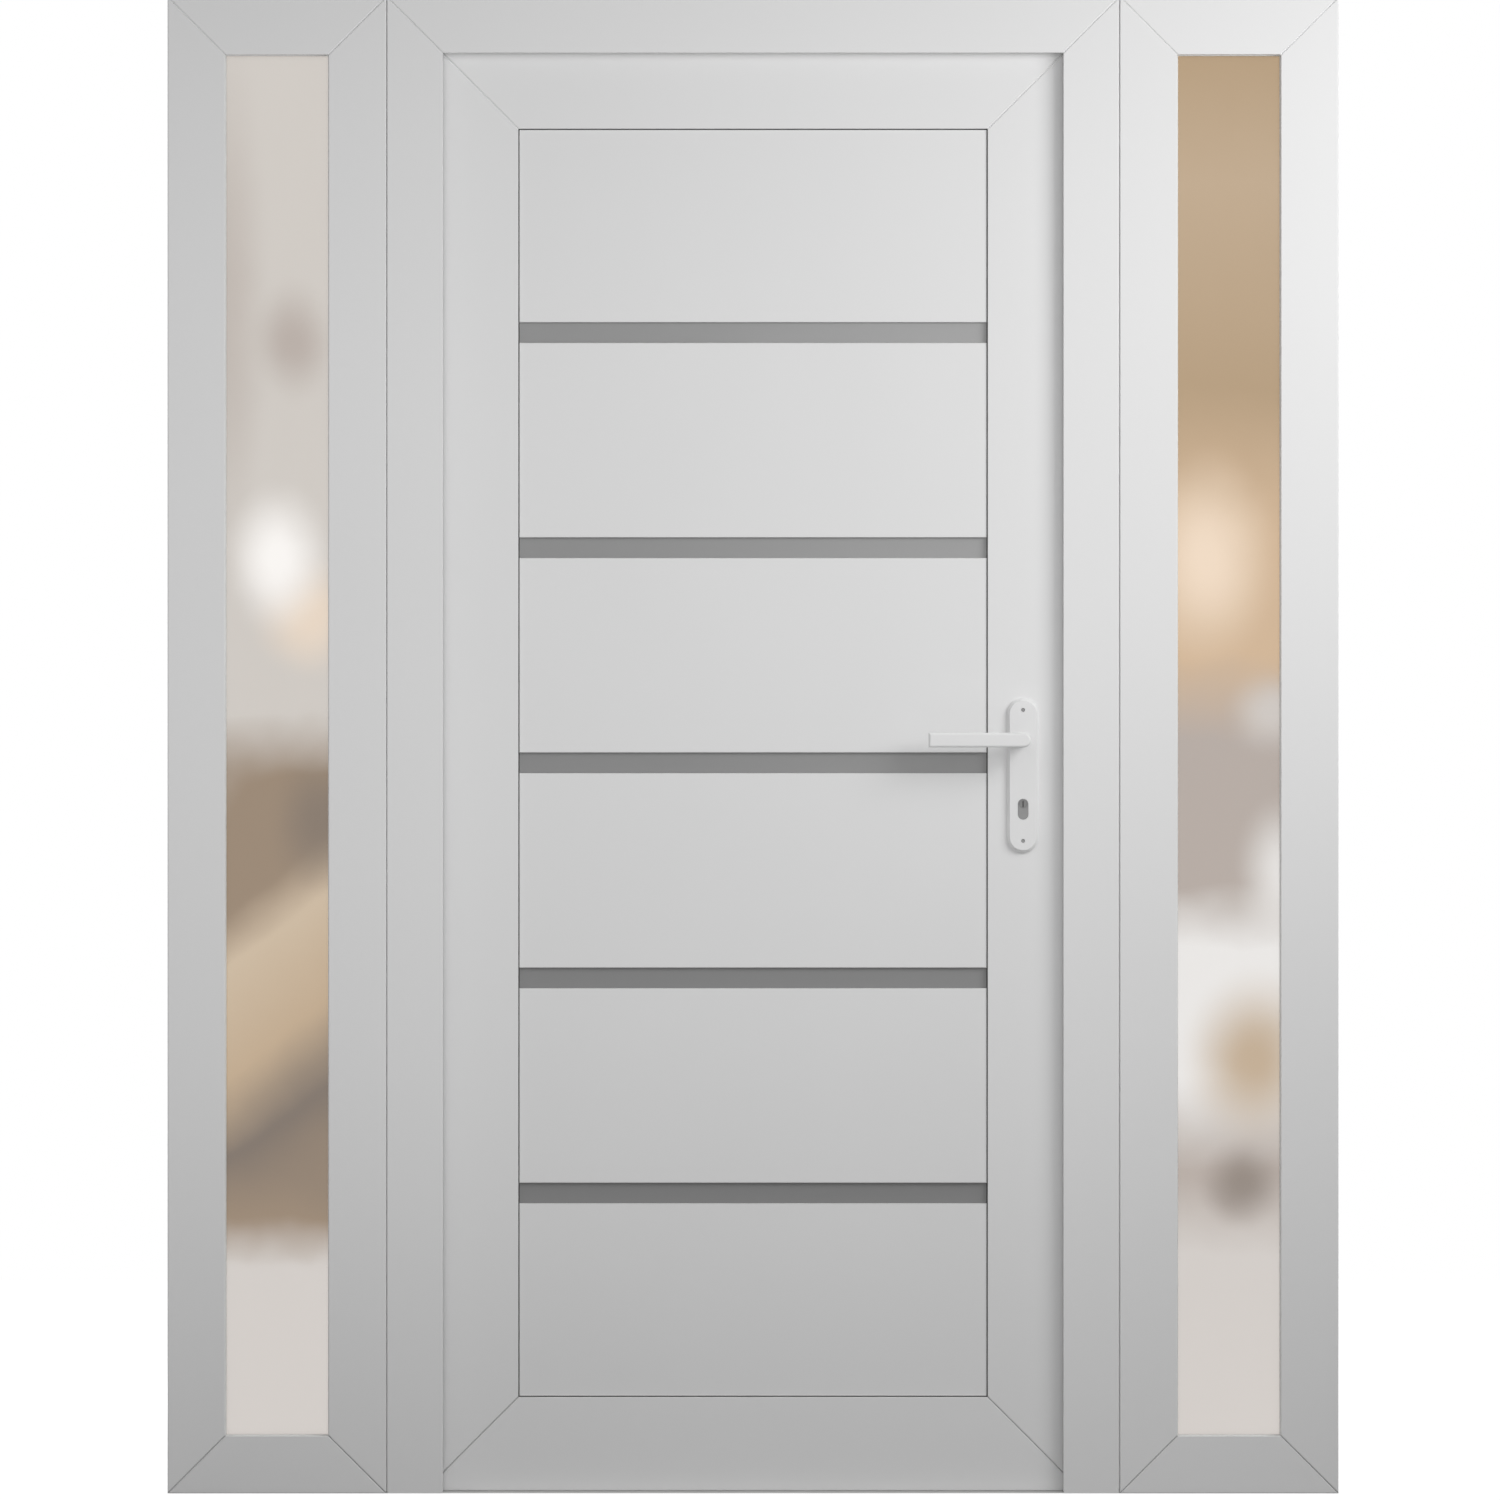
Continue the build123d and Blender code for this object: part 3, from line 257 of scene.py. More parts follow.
class Wire:
    """An output socket, on which Python arithmetic adds Math nodes."""

    def __init__(self, recipe, socket):
        self.recipe = recipe
        self.socket = socket

    def __add__(self, other):
        return self.recipe.math("ADD", self, other)

    def __radd__(self, other):
        return self.recipe.math("ADD", other, self)

    def __sub__(self, other):
        return self.recipe.math("SUBTRACT", self, other)

    def __rsub__(self, other):
        return self.recipe.math("SUBTRACT", other, self)

    def __mul__(self, other):
        return self.recipe.math("MULTIPLY", self, other)

    def __rmul__(self, other):
        return self.recipe.math("MULTIPLY", other, self)

    def __truediv__(self, other):
        return self.recipe.math("DIVIDE", self, other)

    def __rtruediv__(self, other):
        return self.recipe.math("DIVIDE", other, self)

    def __pow__(self, other):
        return self.recipe.math("POWER", self, other)

    def __rpow__(self, other):
        return self.recipe.math("POWER", other, self)


class Recipe:
    """Adds nodes to one node tree."""

    def __init__(self, tree):
        self.tree = tree

    def feed(self, node, name, value):
        """Gives a socket its value or its link. The name may also be the socket's number."""
        if isinstance(name, int):
            socket = node.inputs[name]
        else:
            socket = next(s for s in node.inputs if s.name == name and s.enabled)
        if isinstance(value, Wire):
            self.tree.links.new(value.socket, socket)
        else:
            socket.default_value = value

    def node(self, kind, settings=None, sockets=None, output=None):
        """Adds a node: its settings first, then the values or links of its sockets."""
        made = self.tree.nodes.new(kind)
        for name, value in (settings or {}).items():
            if name == "stops":
                set_stops(made.color_ramp.elements, value)
            else:
                setattr(made, name, value)
        for name, value in (sockets or {}).items():
            self.feed(made, name, value)
        found = (s for s in made.outputs if s.enabled and output in (None, s.name))
        return Wire(self, next(found))

    def math(self, operation, *values):
        """Adds one Math node."""
        return self.node("ShaderNodeMath", {"operation": operation}, dict(enumerate(values)))

    def vector(self, operation, first, second):
        """Adds one Vector Math node."""
        return self.node("ShaderNodeVectorMath", {"operation": operation}, {0: first, 1: second})

    def place(self, scale=(1, 1, 1), centre=(0, 0, 0)):
        """Object coordinates, measured from a centre and then scaled."""
        raw = self.node("ShaderNodeTexCoord", output="Object")
        moved = self.vector("SUBTRACT", raw, centre)
        return self.vector("MULTIPLY", moved, scale)

    def axis(self, vector, name):
        """One part of a vector: X, Y or Z."""
        return self.node("ShaderNodeSeparateXYZ", {}, {"Vector": vector}, name)

    def reach(self, vector):
        """The length of a vector."""
        return self.node("ShaderNodeVectorMath", {"operation": "LENGTH"}, {0: vector}, "Value")

    def noise(self, vector, scale, detail=2):
        """Soft noise from 0 to 1."""
        sockets = {"Vector": vector, "Scale": scale, "Detail": detail}
        return self.node("ShaderNodeTexNoise", {}, sockets, "Fac")

    def ease(self, value, low, high, to_low=0.0, to_high=1.0):
        """A smooth step from one value to another while value goes from low to high."""
        sockets = {
            "Value": value,
            "From Min": low,
            "From Max": high,
            "To Min": to_low,
            "To Max": to_high,
        }
        return self.node("ShaderNodeMapRange", {"interpolation_type": "SMOOTHSTEP"}, sockets)

    def mix(self, factor, first, second):
        """Mixes two colours."""
        sockets = {"Factor": factor, "A": first, "B": second}
        return self.node("ShaderNodeMix", {"data_type": "RGBA"}, sockets)

    def mottle(self, mask, colour, dark, light):
        """A colour whose brightness goes from dark to light with a mask."""
        return self.mix(mask, opaque(colour, dark), opaque(colour, light))

    def bump(self, height, depth):
        """A surface relief of the given depth in metres."""
        sockets = {"Height": height, "Strength": 1.0, "Distance": depth}
        return self.node("ShaderNodeBump", {}, sockets)


def set_stops(elements, stops):
    """Gives a colour ramp its stops, each a place and a colour."""
    while len(elements) > 1:
        elements.remove(elements[-1])
    for index, (position, colour) in enumerate(stops):
        element = elements[0] if index == 0 else elements.new(position)
        element.position = position
        element.color = colour


def opaque(colour, brightness=1.0):
    """A colour with alpha, made brighter or darker."""
    return (*(part * brightness for part in colour), 1.0)


def material(name, paint, constants):
    """A principled material: its constants, then what paint returns for varying sockets."""
    made = bpy.data.materials.new(name)
    made.use_nodes = True
    recipe = Recipe(made.node_tree)
    shader = made.node_tree.nodes["Principled BSDF"]
    for socket, value in constants.items():
        recipe.feed(shader, socket, value)
    for socket, value in paint(recipe).items():
        recipe.feed(shader, socket, value)
    return made


# Finishes


def weld_shade_and_dirt_lines(recipe, low, high):
    """1 along the mitres of a frame of this box, whose four corners are folded into one."""
    middle = (low + high) / 2
    here = recipe.place(centre=middle)
    aside_inset = high.x - middle.x - recipe.math("ABSOLUTE", recipe.axis(here, "X"))
    level_inset = high.z - middle.z - recipe.math("ABSOLUTE", recipe.axis(here, "Z"))
    distance = recipe.math("ABSOLUTE", aside_inset - level_inset) * math.sqrt(0.5)
    return recipe.ease(distance, WELD_FADED, WELD_HALF_WIDTH)


def extruded_plastic(name, colour, level, low, high):
    """Satin white plastic profile of a frame of this box, with faint lines along its length."""

    def paint(recipe):
        here = recipe.place()
        along = recipe.place((DRAWN_OUT, 1, 1) if level else (1, 1, DRAWN_OUT))
        lines = recipe.noise(along, scale=700, detail=1)
        satin = recipe.noise(here, scale=420, detail=0)
        clouds = recipe.noise(here, scale=2.2, detail=1)
        marks = recipe.ease(recipe.noise(along, scale=55), low=0.62, high=0.8)
        clean = recipe.mottle(clouds, colour, dark=0.985, light=1.01)
        # The weld lines are darkened by dirt and by painted crease shade, more of both near the floor
        height = recipe.axis(here, "Z")
        amount = recipe.ease(height, WELD_SHADE_AND_DIRT_TOP, WELD_SHADE_AND_DIRT_FOOT, WELD_SHADE_AND_DIRT_AT_TOP, WELD_SHADE_AND_DIRT_AT_FOOT)
        shade_and_dirt = weld_shade_and_dirt_lines(recipe, low, high) * amount
        return {
            "Base Color": recipe.mix(shade_and_dirt, clean, opaque(colour, WELD_SHADE_AND_DIRT_BRIGHTNESS)),
            "Roughness": 0.27 + clouds * 0.1 + marks * 0.06,
            "Normal": recipe.bump(lines * 0.5 + satin * 0.5, depth=0.00002),
        }

    return material(name, paint, {"Specular IOR Level": 0.45})


def panel_skin(name, colour):
    """The panels' smooth sheet skin, a little more matt than the profiles."""

    def paint(recipe):
        grain = recipe.noise(recipe.place(), scale=650, detail=0)
        waves = recipe.noise(recipe.place((1, 1, 0.6)), scale=5, detail=1)
        return {
            "Base Color": recipe.mottle(waves, colour, dark=0.985, light=1.01),
            "Roughness": 0.36 + waves * 0.08,
            "Normal": recipe.bump(grain * 0.1 + waves, depth=0.0001),
        }

    return material(name, paint, {"Specular IOR Level": 0.4})


def powder_coat(name, colour):
    """Sprayed and baked coating, with a fine orange-peel surface."""

    def paint(recipe):
        peel = recipe.noise(recipe.place(), scale=380)
        patches = recipe.noise(recipe.place(), scale=28)
        return {
            "Base Color": recipe.mottle(patches, colour, dark=0.98, light=1.01),
            "Roughness": 0.3 + peel * 0.14,
            "Normal": recipe.bump(peel, depth=0.00005),
        }

    return material(name, paint, {})


def frosted_glass(name, high, low):
    """Ground glass strips with painted light and shade: lighter at eye level and to the right than near the floor.
    """

    def paint(recipe):
        here = recipe.place()
        # Painted light: the strip is made lighter higher up and to the right, and darker near the floor
        painted_light_lift = recipe.ease(recipe.axis(here, "Z"), low=0.4, high=1.6)
        painted_light_rightward = recipe.ease(recipe.axis(here, "X"), low=-0.3, high=0.3)
        ground = recipe.noise(here, scale=1500)
        streaks = recipe.noise(recipe.place((1, 1, 6)), scale=7)
        painted_lit_tone = recipe.mottle(painted_light_rightward, high, dark=0.88, light=1.12)
        painted_light_tone = recipe.mix(painted_light_lift, opaque(low), painted_lit_tone)
        speckled = recipe.mix(ground * 0.12, painted_light_tone, opaque(high, 1.4))
        return {
            "Base Color": recipe.mix(streaks * 0.1, speckled, opaque(low, 0.8)),
            "Roughness": 0.4 + ground * 0.2,
            "Normal": recipe.bump(ground, depth=0.00003),
        }

    return material(name, paint, {"Coat Weight": 0.15, "Coat Roughness": 0.2})


def rubber(name, colour):
    """Extruded rubber, dull, with a faint bloom."""

    def paint(recipe):
        grain = recipe.noise(recipe.place(), scale=900)
        bloom = recipe.noise(recipe.place((1, 1, 0.2)), scale=30, detail=3)
        return {
            "Base Color": recipe.mottle(bloom * 0.3, colour, dark=1, light=1.25),
            "Roughness": 0.55 + bloom * 0.2,
            "Normal": recipe.bump(grain, depth=0.00004),
        }

    return material(name, paint, {})


def drawn_metal(name, colour, stretch, roughness):
    """Metal with fine lines along the direction in which its pattern is stretched."""

    def paint(recipe):
        lines = recipe.noise(recipe.place(stretch), scale=1100, detail=4)
        stains = recipe.noise(recipe.place(), scale=20, detail=3)
        return {
            "Base Color": recipe.mottle(stains, colour, dark=0.92, light=1.06),
            "Roughness": roughness + lines * 0.14,
            "Normal": recipe.bump(lines, depth=0.00002),
        }

    return material(name, paint, {"Metallic": 1.0})


def cylinder_metal(name, colour, plug_colour, plug_x, plug_z):
    """Satin nickel with turned rings on the darker plug that the key goes into."""

    def paint(recipe):
        distance = recipe.reach(recipe.place((1, 0, 1), centre=(plug_x, 0, plug_z)))
        plug = recipe.ease(distance, PLUG_RADIUS * 1.04, PLUG_RADIUS)
        lines = recipe.noise(recipe.place((1, 1, 0.05)), scale=1100, detail=4)
        rings = recipe.math("SINE", distance * TURNED_RING_WAVES)
        stains = recipe.noise(recipe.place(), scale=60, detail=3)
        body = recipe.mottle(stains, colour, dark=0.92, light=1.06)
        return {
            "Base Color": recipe.mix(plug, body, opaque(plug_colour)),
            "Roughness": 0.3 + lines * 0.14,
            "Normal": recipe.bump(lines * (1 - plug) + rings * plug * 0.4, depth=0.00002),
        }

    return material(name, paint, {"Metallic": 1.0})


def spacer_metal(name, colour):
    """The spacer bar's aluminium, with its two rows of small vent holes, painted as dark spots of shade."""

    def paint(recipe):
        cells = recipe.node(
            "ShaderNodeTexVoronoi",
            {"feature": "F1"},
            {"Vector": recipe.place(), "Scale": 420.0, "Randomness": 0.15},
            "Distance",
        )
        # The vent holes are painted shade: dark spots in the aluminium's colour
        vent_hole_shade = recipe.ease(cells, low=0.12, high=0.3)
        wear = recipe.noise(recipe.place(), scale=40)
        return {
            "Base Color": recipe.mottle(vent_hole_shade, colour, dark=0.35, light=1),
            "Roughness": 0.3 + wear * 0.15,
            "Normal": recipe.bump(vent_hole_shade, depth=0.0002),
        }

    return material(name, paint, {"Metallic": 1.0})


# Sidelight glass, with a painted reflection


class ReflectedPatch(NamedTuple):
    """A soft patch of painted reflection, placed from the pane's middle and the floor."""

    aside: float
    height: float
    half_width: float
    half_height: float
    colour: tuple
    strength: float = 1.0


# Colours of the reflection painted on the sidelight glass
PALE = (0.67, 0.63, 0.6)
CREAM = (0.66, 0.62, 0.58)
WHITE = (1.0, 0.97, 0.94)
CHALK = (0.86, 0.84, 0.82)
STONE = (0.5, 0.44, 0.4)
WHEAT = (0.64, 0.52, 0.39)
TAN = (0.56, 0.43, 0.3)
OCHRE = (0.5, 0.37, 0.24)
HONEY = (0.68, 0.5, 0.34)
GLEAM = (0.92, 0.75, 0.59)
BROWN = (0.35, 0.27, 0.2)
CHARCOAL = (0.24, 0.2, 0.17)

# Each pane's painted reflection: its broad bands from the floor up, as (height, colour), soft patches over them,
# and how steeply its middle bands rise to the right
LEFT_REFLECTED_BANDS = (
    (0.31, PALE),
    (0.37, BROWN),
    (0.5, CHARCOAL),
    (0.62, TAN),
    (0.76, WHEAT),
    (0.84, BROWN),
    (0.97, BROWN),
    (1.06, CREAM),
    (1.95, CREAM),
)
LEFT_REFLECTED_PATCHES = (
    ReflectedPatch(0.022, 1.565, 0.05, 0.07, STONE, 0.9),
    ReflectedPatch(-0.07, 1.62, 0.05, 0.3, STONE, 0.6),
    ReflectedPatch(0.045, 1.19, 0.065, 0.07, GLEAM, 0.7),
    ReflectedPatch(0.0, 1.27, 0.06, 0.085, WHITE),
    ReflectedPatch(0.055, 0.91, 0.055, 0.08, CHARCOAL, 0.7),
)
LEFT_LEAN = 0.8
RIGHT_REFLECTED_BANDS = (
    (0.32, PALE),
    (0.44, STONE),
    (0.57, CHALK),
    (0.74, CHALK),
    (0.82, STONE),
    (1.02, STONE),
    (1.14, HONEY),
    (1.3, HONEY),
    (1.5, OCHRE),
    (1.78, TAN),
    (1.95, OCHRE),
)
RIGHT_REFLECTED_PATCHES = (
    ReflectedPatch(-0.03, 1.27, 0.08, 0.12, GLEAM),
    ReflectedPatch(0.06, 1.06, 0.055, 0.05, PALE, 0.9),
    ReflectedPatch(0.075, 0.84, 0.055, 0.09, CHALK, 0.9),
    ReflectedPatch(0.035, 0.59, 0.08, 0.1, TAN, 0.95),
    ReflectedPatch(0.02, 0.42, 0.05, 0.05, CHARCOAL, 0.7),
)
RIGHT_LEAN = 0


def painted_reflection_glass(name, centre_x, reflected_bands, reflected_patches, lean):
    """Mirror-like glass with a reflection painted into its colour, in broad bands and soft patches."""
    top = reflected_bands[-1][0]

    def paint(recipe):
        here = recipe.place(centre=(centre_x, 0, 0))
        aside = recipe.axis(here, "X")
        height = recipe.axis(here, "Z")
        drift = recipe.noise(recipe.place((1, 0, 1)), scale=9) - 0.5
        begins = recipe.ease(height, low=0.38, high=0.5)
        ends = recipe.ease(height, low=0.9, high=1.0)
        along = height - aside * (begins - ends) * lean + drift * REFLECTED_BAND_DRIFT
        # The bands and the patches laid over them are a painted reflection
        stops = [(place / top, opaque(colour)) for place, colour in reflected_bands]
        colour = recipe.node(
            "ShaderNodeValToRGB", {"stops": stops}, {"Fac": along / top}, "Color"
        )
        for glow in reflected_patches:
            across = (aside - glow.aside + drift * REFLECTED_PATCH_DRIFT) / glow.half_width
            upward = (height - glow.height + drift * REFLECTED_PATCH_DRIFT) / glow.half_height
            distance = (across * across + upward * upward) ** 0.5
            mask = recipe.ease(distance, REFLECTED_PATCH_FADED, REFLECTED_PATCH_FULL) * glow.strength
            colour = recipe.mix(mask, colour, opaque(glow.colour))
        ripple = recipe.noise(recipe.place((1, 0, 0.4)), scale=16)
        return {
            "Base Color": colour,
            "Roughness": 0.2 + ripple * 0.06,
            "Normal": recipe.bump(ripple, depth=0.0001),
        }

    return material(name, paint, {"Metallic": 1.0})


# Which finish goes where


def node_centre(node):
    """The middle of a CAD node's box."""
    low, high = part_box(node)
    return (low + high) / 2


def frame_boxes():
    """The box that each frame's mitres start from, at its corners.

    The door frame has no sill, so its box reaches as far below the floor as above it. The
    leaf's lower mitres aim at a corner as far outside the panels as its edges at the sides.
    """
    door_low, door_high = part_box("left_door_jamb")[0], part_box("right_door_jamb")[1]
    door_low.z = -door_high.z
    leaf_low, leaf_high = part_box("leaf_hinge_stile")[0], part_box("leaf_lock_stile")[1]
    panels_low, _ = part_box("infill_panels")
    leaf_low.z = panels_low.z - (panels_low.x - leaf_low.x)
    boxes = {"door": (door_low, door_high), "leaf": (leaf_low, leaf_high)}
    for side in ("left", "right"):
        boxes[side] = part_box(f"{side}_sidelight_rails")
    return boxes


def frame_of(node):
    """Which mitred frame a CAD node belongs to."""
    if "sidelight" in node:
        return node.split("_")[0]
    return "leaf" if node.startswith("leaf") else "door"


def plug_middle():
    """The key plug's x and z, in the round upper end of the oval cylinder's box."""
    low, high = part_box("key_cylinder")
    return (low.x + high.x) / 2, high.z - (high.x - low.x) / 2


def profile_recipes():
    """How the plastic of each mitred frame is made, for its upright and its level pieces."""
    recipes = {}
    for owner, (low, high) in frame_boxes().items():
        for way in ("upright", "level"):
            own = {"colour": colours().plastic, "level": way == "level", "low": low, "high": high}
            recipes[f"{owner}_{way}_plastic"] = partial(extruded_plastic, **own)
    return recipes


def finish_recipes():
    """How each finish is made, by its name."""
    own = colours()
    left_x = node_centre("left_sidelight_glass").x
    right_x = node_centre("right_sidelight_glass").x
    plug_x, plug_z = plug_middle()
    return profile_recipes() | {
        "panel_skin": partial(panel_skin, colour=own.skin),
        "powder_coat": partial(powder_coat, colour=own.coating),
        "frosted_glass": partial(frosted_glass, high=own.frost_painted_light, low=own.frost_painted_shade),
        # The sidelight glass carries a painted reflection in its colour
        "left_glass": partial(
            painted_reflection_glass, centre_x=left_x, reflected_bands=LEFT_REFLECTED_BANDS, reflected_patches=LEFT_REFLECTED_PATCHES, lean=LEFT_LEAN
        ),
        "right_glass": partial(
            painted_reflection_glass, centre_x=right_x, reflected_bands=RIGHT_REFLECTED_BANDS, reflected_patches=RIGHT_REFLECTED_PATCHES, lean=RIGHT_LEAN
        ),
        "rubber": partial(rubber, colour=own.rubber),
        "pale_rubber": partial(rubber, colour=own.pale_rubber),
        "spacer_metal": partial(spacer_metal, colour=own.aluminium),
        "threshold_metal": partial(
            drawn_metal, colour=own.aluminium, stretch=(0.01, 1, 1), roughness=0.3
        ),
        "nickel": partial(drawn_metal, colour=own.nickel, stretch=(1, 1, 0.05), roughness=0.3),
        "cylinder_metal": partial(
            cylinder_metal, colour=own.nickel, plug_colour=own.plug, plug_x=plug_x, plug_z=plug_z
        ),
        "zinc_plate": partial(
            drawn_metal, colour=own.zinc, stretch=(1, 1, 0.03), roughness=0.28
        ),
        "screw_steel": partial(drawn_metal, colour=own.screw, stretch=(1, 1, 1), roughness=0.25),
        "nylon": partial(powder_coat, colour=own.nylon),
    }


@cache
def finish(name):
    """A finish by its name, made when it is first asked for."""
    return finish_recipes()[name](name)


def finish_name(slot, node):
    """The name of the finish for a material slot on a CAD node."""
    side = "left" if node.startswith("left") else "right"
    way = "level" if any(word in node for word in LEVEL_PIECES) else "upright"
    plastic = f"{frame_of(node)}_{way}_plastic"
    gasket = "pale_rubber" if "sidelight" in node else "rubber"
    return {
        "frame_white": plastic,
        "leaf_white": plastic,
        "panel_white": "panel_skin",
        "frosted_glass": "frosted_glass",
        "reflective_glass": f"{side}_glass",
        "gasket_grey": gasket,
        "spacer_aluminium": "spacer_metal",
        "threshold_aluminium": "threshold_metal",
        "handle_white": "powder_coat",
        "hinge_white": "powder_coat",
        "cylinder_nickel": "cylinder_metal",
        "lock_steel": "zinc_plate",
    }[slot]


# Shapes


def cross_outline(angle):
    """How far a cross recess reaches at an angle, as a share of its arms."""
    return 1.0 if math.cos(4 * angle) > CROSS_ARM_SPREAD else CROSS_CORNER_REACH


def hexagon_outline(angle):
    """How far a hexagon socket reaches at an angle, as a share of its corners."""
    sector = math.pi / 3
    return math.cos(sector / 2) / math.cos((angle + sector / 2) % sector - sector / 2)


def driven_head(radius, height, outline, recess=0.5):
    """A round head on +Z from 0, with a rounded rim and a driver recess of some outline."""
    head = bmesh.new()
    bmesh.ops.create_circle(head, cap_ends=True, radius=radius, segments=HEAD_SEGMENTS)
    raised = bmesh.ops.extrude_face_region(head, geom=head.faces[:], use_keep_orig=True)
    upper = [item for item in raised["geom"] if isinstance(item, bmesh.types.BMVert)]
    bmesh.ops.translate(head, verts=upper, vec=(0, 0, height))
    rim = [edge for edge in head.edges if all(v.co.z > height - TINY for v in edge.verts)]
    bmesh.ops.bevel(
        head,
        geom=rim,
        offset=height * RIM_BEVEL,
        affect="EDGES",
        segments=3,
        profile=0.5,
        material=-1,
    )
    top = max(head.faces, key=lambda face: (face.calc_center_median().z, len(face.verts)))
    land = radius * LAND_WIDTH
    bmesh.ops.inset_individual(head, faces=[top], thickness=land, use_even_offset=True)
    for vert in top.verts:
        angle = math.atan2(vert.co.y, vert.co.x)
        reach = radius * recess * outline(angle)
        vert.co.xy = (reach * math.cos(angle), reach * math.sin(angle))
    sunk = bmesh.ops.extrude_discrete_faces(head, faces=[top])["faces"][0]
    bmesh.ops.translate(head, verts=sunk.verts, vec=(0, 0, -height * RECESS_DEPTH))
    bmesh.ops.scale(head, verts=sunk.verts, vec=(RECESS_TAPER, RECESS_TAPER, 1))
    return head


def plain_ring(radius, thickness):
    """A round-sectioned ring about +Z, half of it above 0."""
    ring = bmesh.new()
    upright = Matrix.Translation((radius, 0, 0)) @ Matrix.Rotation(math.pi / 2, 4, "X")
    bmesh.ops.create_circle(
        ring, radius=thickness / 2, segments=RING_SECTION_SEGMENTS, matrix=upright
    )
    bmesh.ops.spin(
        ring,
        geom=ring.verts[:] + ring.edges[:],
        cent=(0, 0, 0),
        axis=(0, 0, 1),
        angle=2 * math.pi,
        steps=RING_SEGMENTS,
        use_merge=True,
    )
    return ring


def stood(place, outward, turn=0.0):
    """Moves a shape from the origin to a place, with its +Z turned to the outward direction."""
    aim = outward.to_track_quat("Z", "Y").to_matrix().to_4x4()
    return Matrix.Translation(place) @ aim @ Matrix.Rotation(turn, 4, "Z")


def piece(name, shape, placements, body, look):
    """Makes one mesh of copies of a shape, with a finish, riding on a body."""
    copy = bpy.data.meshes.new(f"{name}_shape")
    shape.to_mesh(copy)
    shape.free()
    whole = bmesh.new()
    for placement in placements:
        turned = copy.copy()
        turned.transform(placement)
        whole.from_mesh(turned)
        bpy.data.meshes.remove(turned)
    bpy.data.meshes.remove(copy)
    bmesh.ops.remove_doubles(whole, verts=whole.verts, dist=TINY)
    bmesh.ops.recalc_face_normals(whole, faces=whole.faces)
    mesh = bpy.data.meshes.new(name)
    whole.to_mesh(mesh)
    whole.free()
    mesh.shade_smooth()
    mesh.set_sharp_from_angle(angle=SHARP_ANGLE)
    mesh.materials.append(finish(look))
    made = bpy.data.objects.new(name, mesh)
    bpy.context.scene.collection.objects.link(made)
    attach(made, body)


def spread(low, high, count):
    """Evenly spaced values from low to high."""
    return [low + (high - low) * index / (count - 1) for index in range(count)]


def driven_in(places, outward):
    """Placements of screws at some places, each stopped at another angle."""
    turns = [index * SCREW_TO_SCREW_TURN for index in range(len(places))]
    return [stood(place, outward, turn) for place, turn in zip(places, turns)]


def hinge_heights():
    """How high each hinge's middle is, halfway up its pin."""
    pins = frame["nodes"]["hinge_pins"].data
    heights = sorted(vertex.co.z for vertex in pins.vertices)
    groups = [[heights[0]]]
    for height in heights:
        if height - groups[-1][-1] > HINGES_APART:
            groups.append([])
        groups[-1].append(height)
    return [(group[0] + group[-1]) / 2 for group in groups]


# Operators


class DOOR_OT_finishes(Operator):
    """Gives every piece of the frame the finish of its material slot"""

    bl_idname = "door.finishes"
    bl_label = "Finishes"

    def execute(self, context):
        for part in frame["record"]["subparts"]:
            node = part["node"]
            mesh = frame["nodes"][node].data
            mesh.materials.clear()
            mesh.materials.append(finish(finish_name(part["material_slot"], node)))
        return {"FINISHED"}


class DOOR_OT_backplate_screws(Operator):
    """Makes the two screws of each backplate, at the bottom of their recesses"""

    bl_idname = "door.backplate_screws"
    bl_label = "Backplate screws"

    def execute(self, context):
        own = fasteners()
        for side, outward in (("outdoor", OUTDOORS), ("indoor", INDOORS)):
            low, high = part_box(f"{side}_backplate")
            plate_face = low.y + BOSS_HEIGHT if side == "outdoor" else high.y - BOSS_HEIGHT
            floor = plate_face - outward.y * own.plate_screw_sink
            middle = (low + high) / 2
            heights = [middle.z + end * own.plate_screw_spacing / 2 for end in (-1, 1)]
            places = [Vector((middle.x, floor, height)) for height in heights]
            radius, height = own.plate_screw_radius, own.plate_screw_height
            head = driven_head(radius, height, cross_outline, recess=0.62)
            placements = driven_in(places, outward)
            name = f"{side}_backplate_screws"
            piece(name, head, placements, "leaf", "screw_steel")
        return {"FINISHED"}


class DOOR_OT_lever_fittings(Operator):
    """Makes the nylon ring round each lever's neck and the grub screw under it"""

    bl_idname = "door.lever_fittings"
    bl_label = "Lever rings and grub screws"

    def execute(self, context):
        own = fasteners()
        joint = next(j for j in frame["joints"] if j["name"] == "lever_turn")
        axis_x, _, axis_z = joint["pos_m"]
        for side, outward in (("outdoor", OUTDOORS), ("indoor", INDOORS)):
            low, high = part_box(f"{side}_backplate")
            face = low.y if side == "outdoor" else high.y
            ring = plain_ring(own.neck_ring_radius, own.neck_ring_thickness)
            round_neck = [stood(Vector((axis_x, face, axis_z)), outward)]
            piece(f"{side}_neck_ring", ring, round_neck, "leaf", "nylon")
            neck = Vector((axis_x, face + outward.y * GRUB_FROM_BOSS, axis_z - NECK_RADIUS))
            grub = driven_head(own.grub_radius, GRUB_HEIGHT, hexagon_outline, recess=0.6)
            sunk = stood(neck + UP * GRUB_HEIGHT / 2, -UP)
            piece(f"{side}_grub_screw", grub, [sunk], "lever", "screw_steel")
        return {"FINISHED"}


class DOOR_OT_cylinder_rings(Operator):
    """Makes the turned ring round the key plug on both faces of the cylinder"""

    bl_idname = "door.cylinder_rings"
    bl_label = "Key plug rings"

    def execute(self, context):
        own = fasteners()
        low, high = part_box("key_cylinder")
        plug_x, plug_z = plug_middle()
        faces = ((low.y + PLUG_PROUD, OUTDOORS), (high.y - PLUG_PROUD, INDOORS))
        places = [stood(Vector((plug_x, y, plug_z)), outward) for y, outward in faces]
        ring = plain_ring(own.plug_ring_radius, own.plug_ring_thickness)
        piece("key_plug_rings", ring, places, "leaf", "nickel")
        return {"FINISHED"}


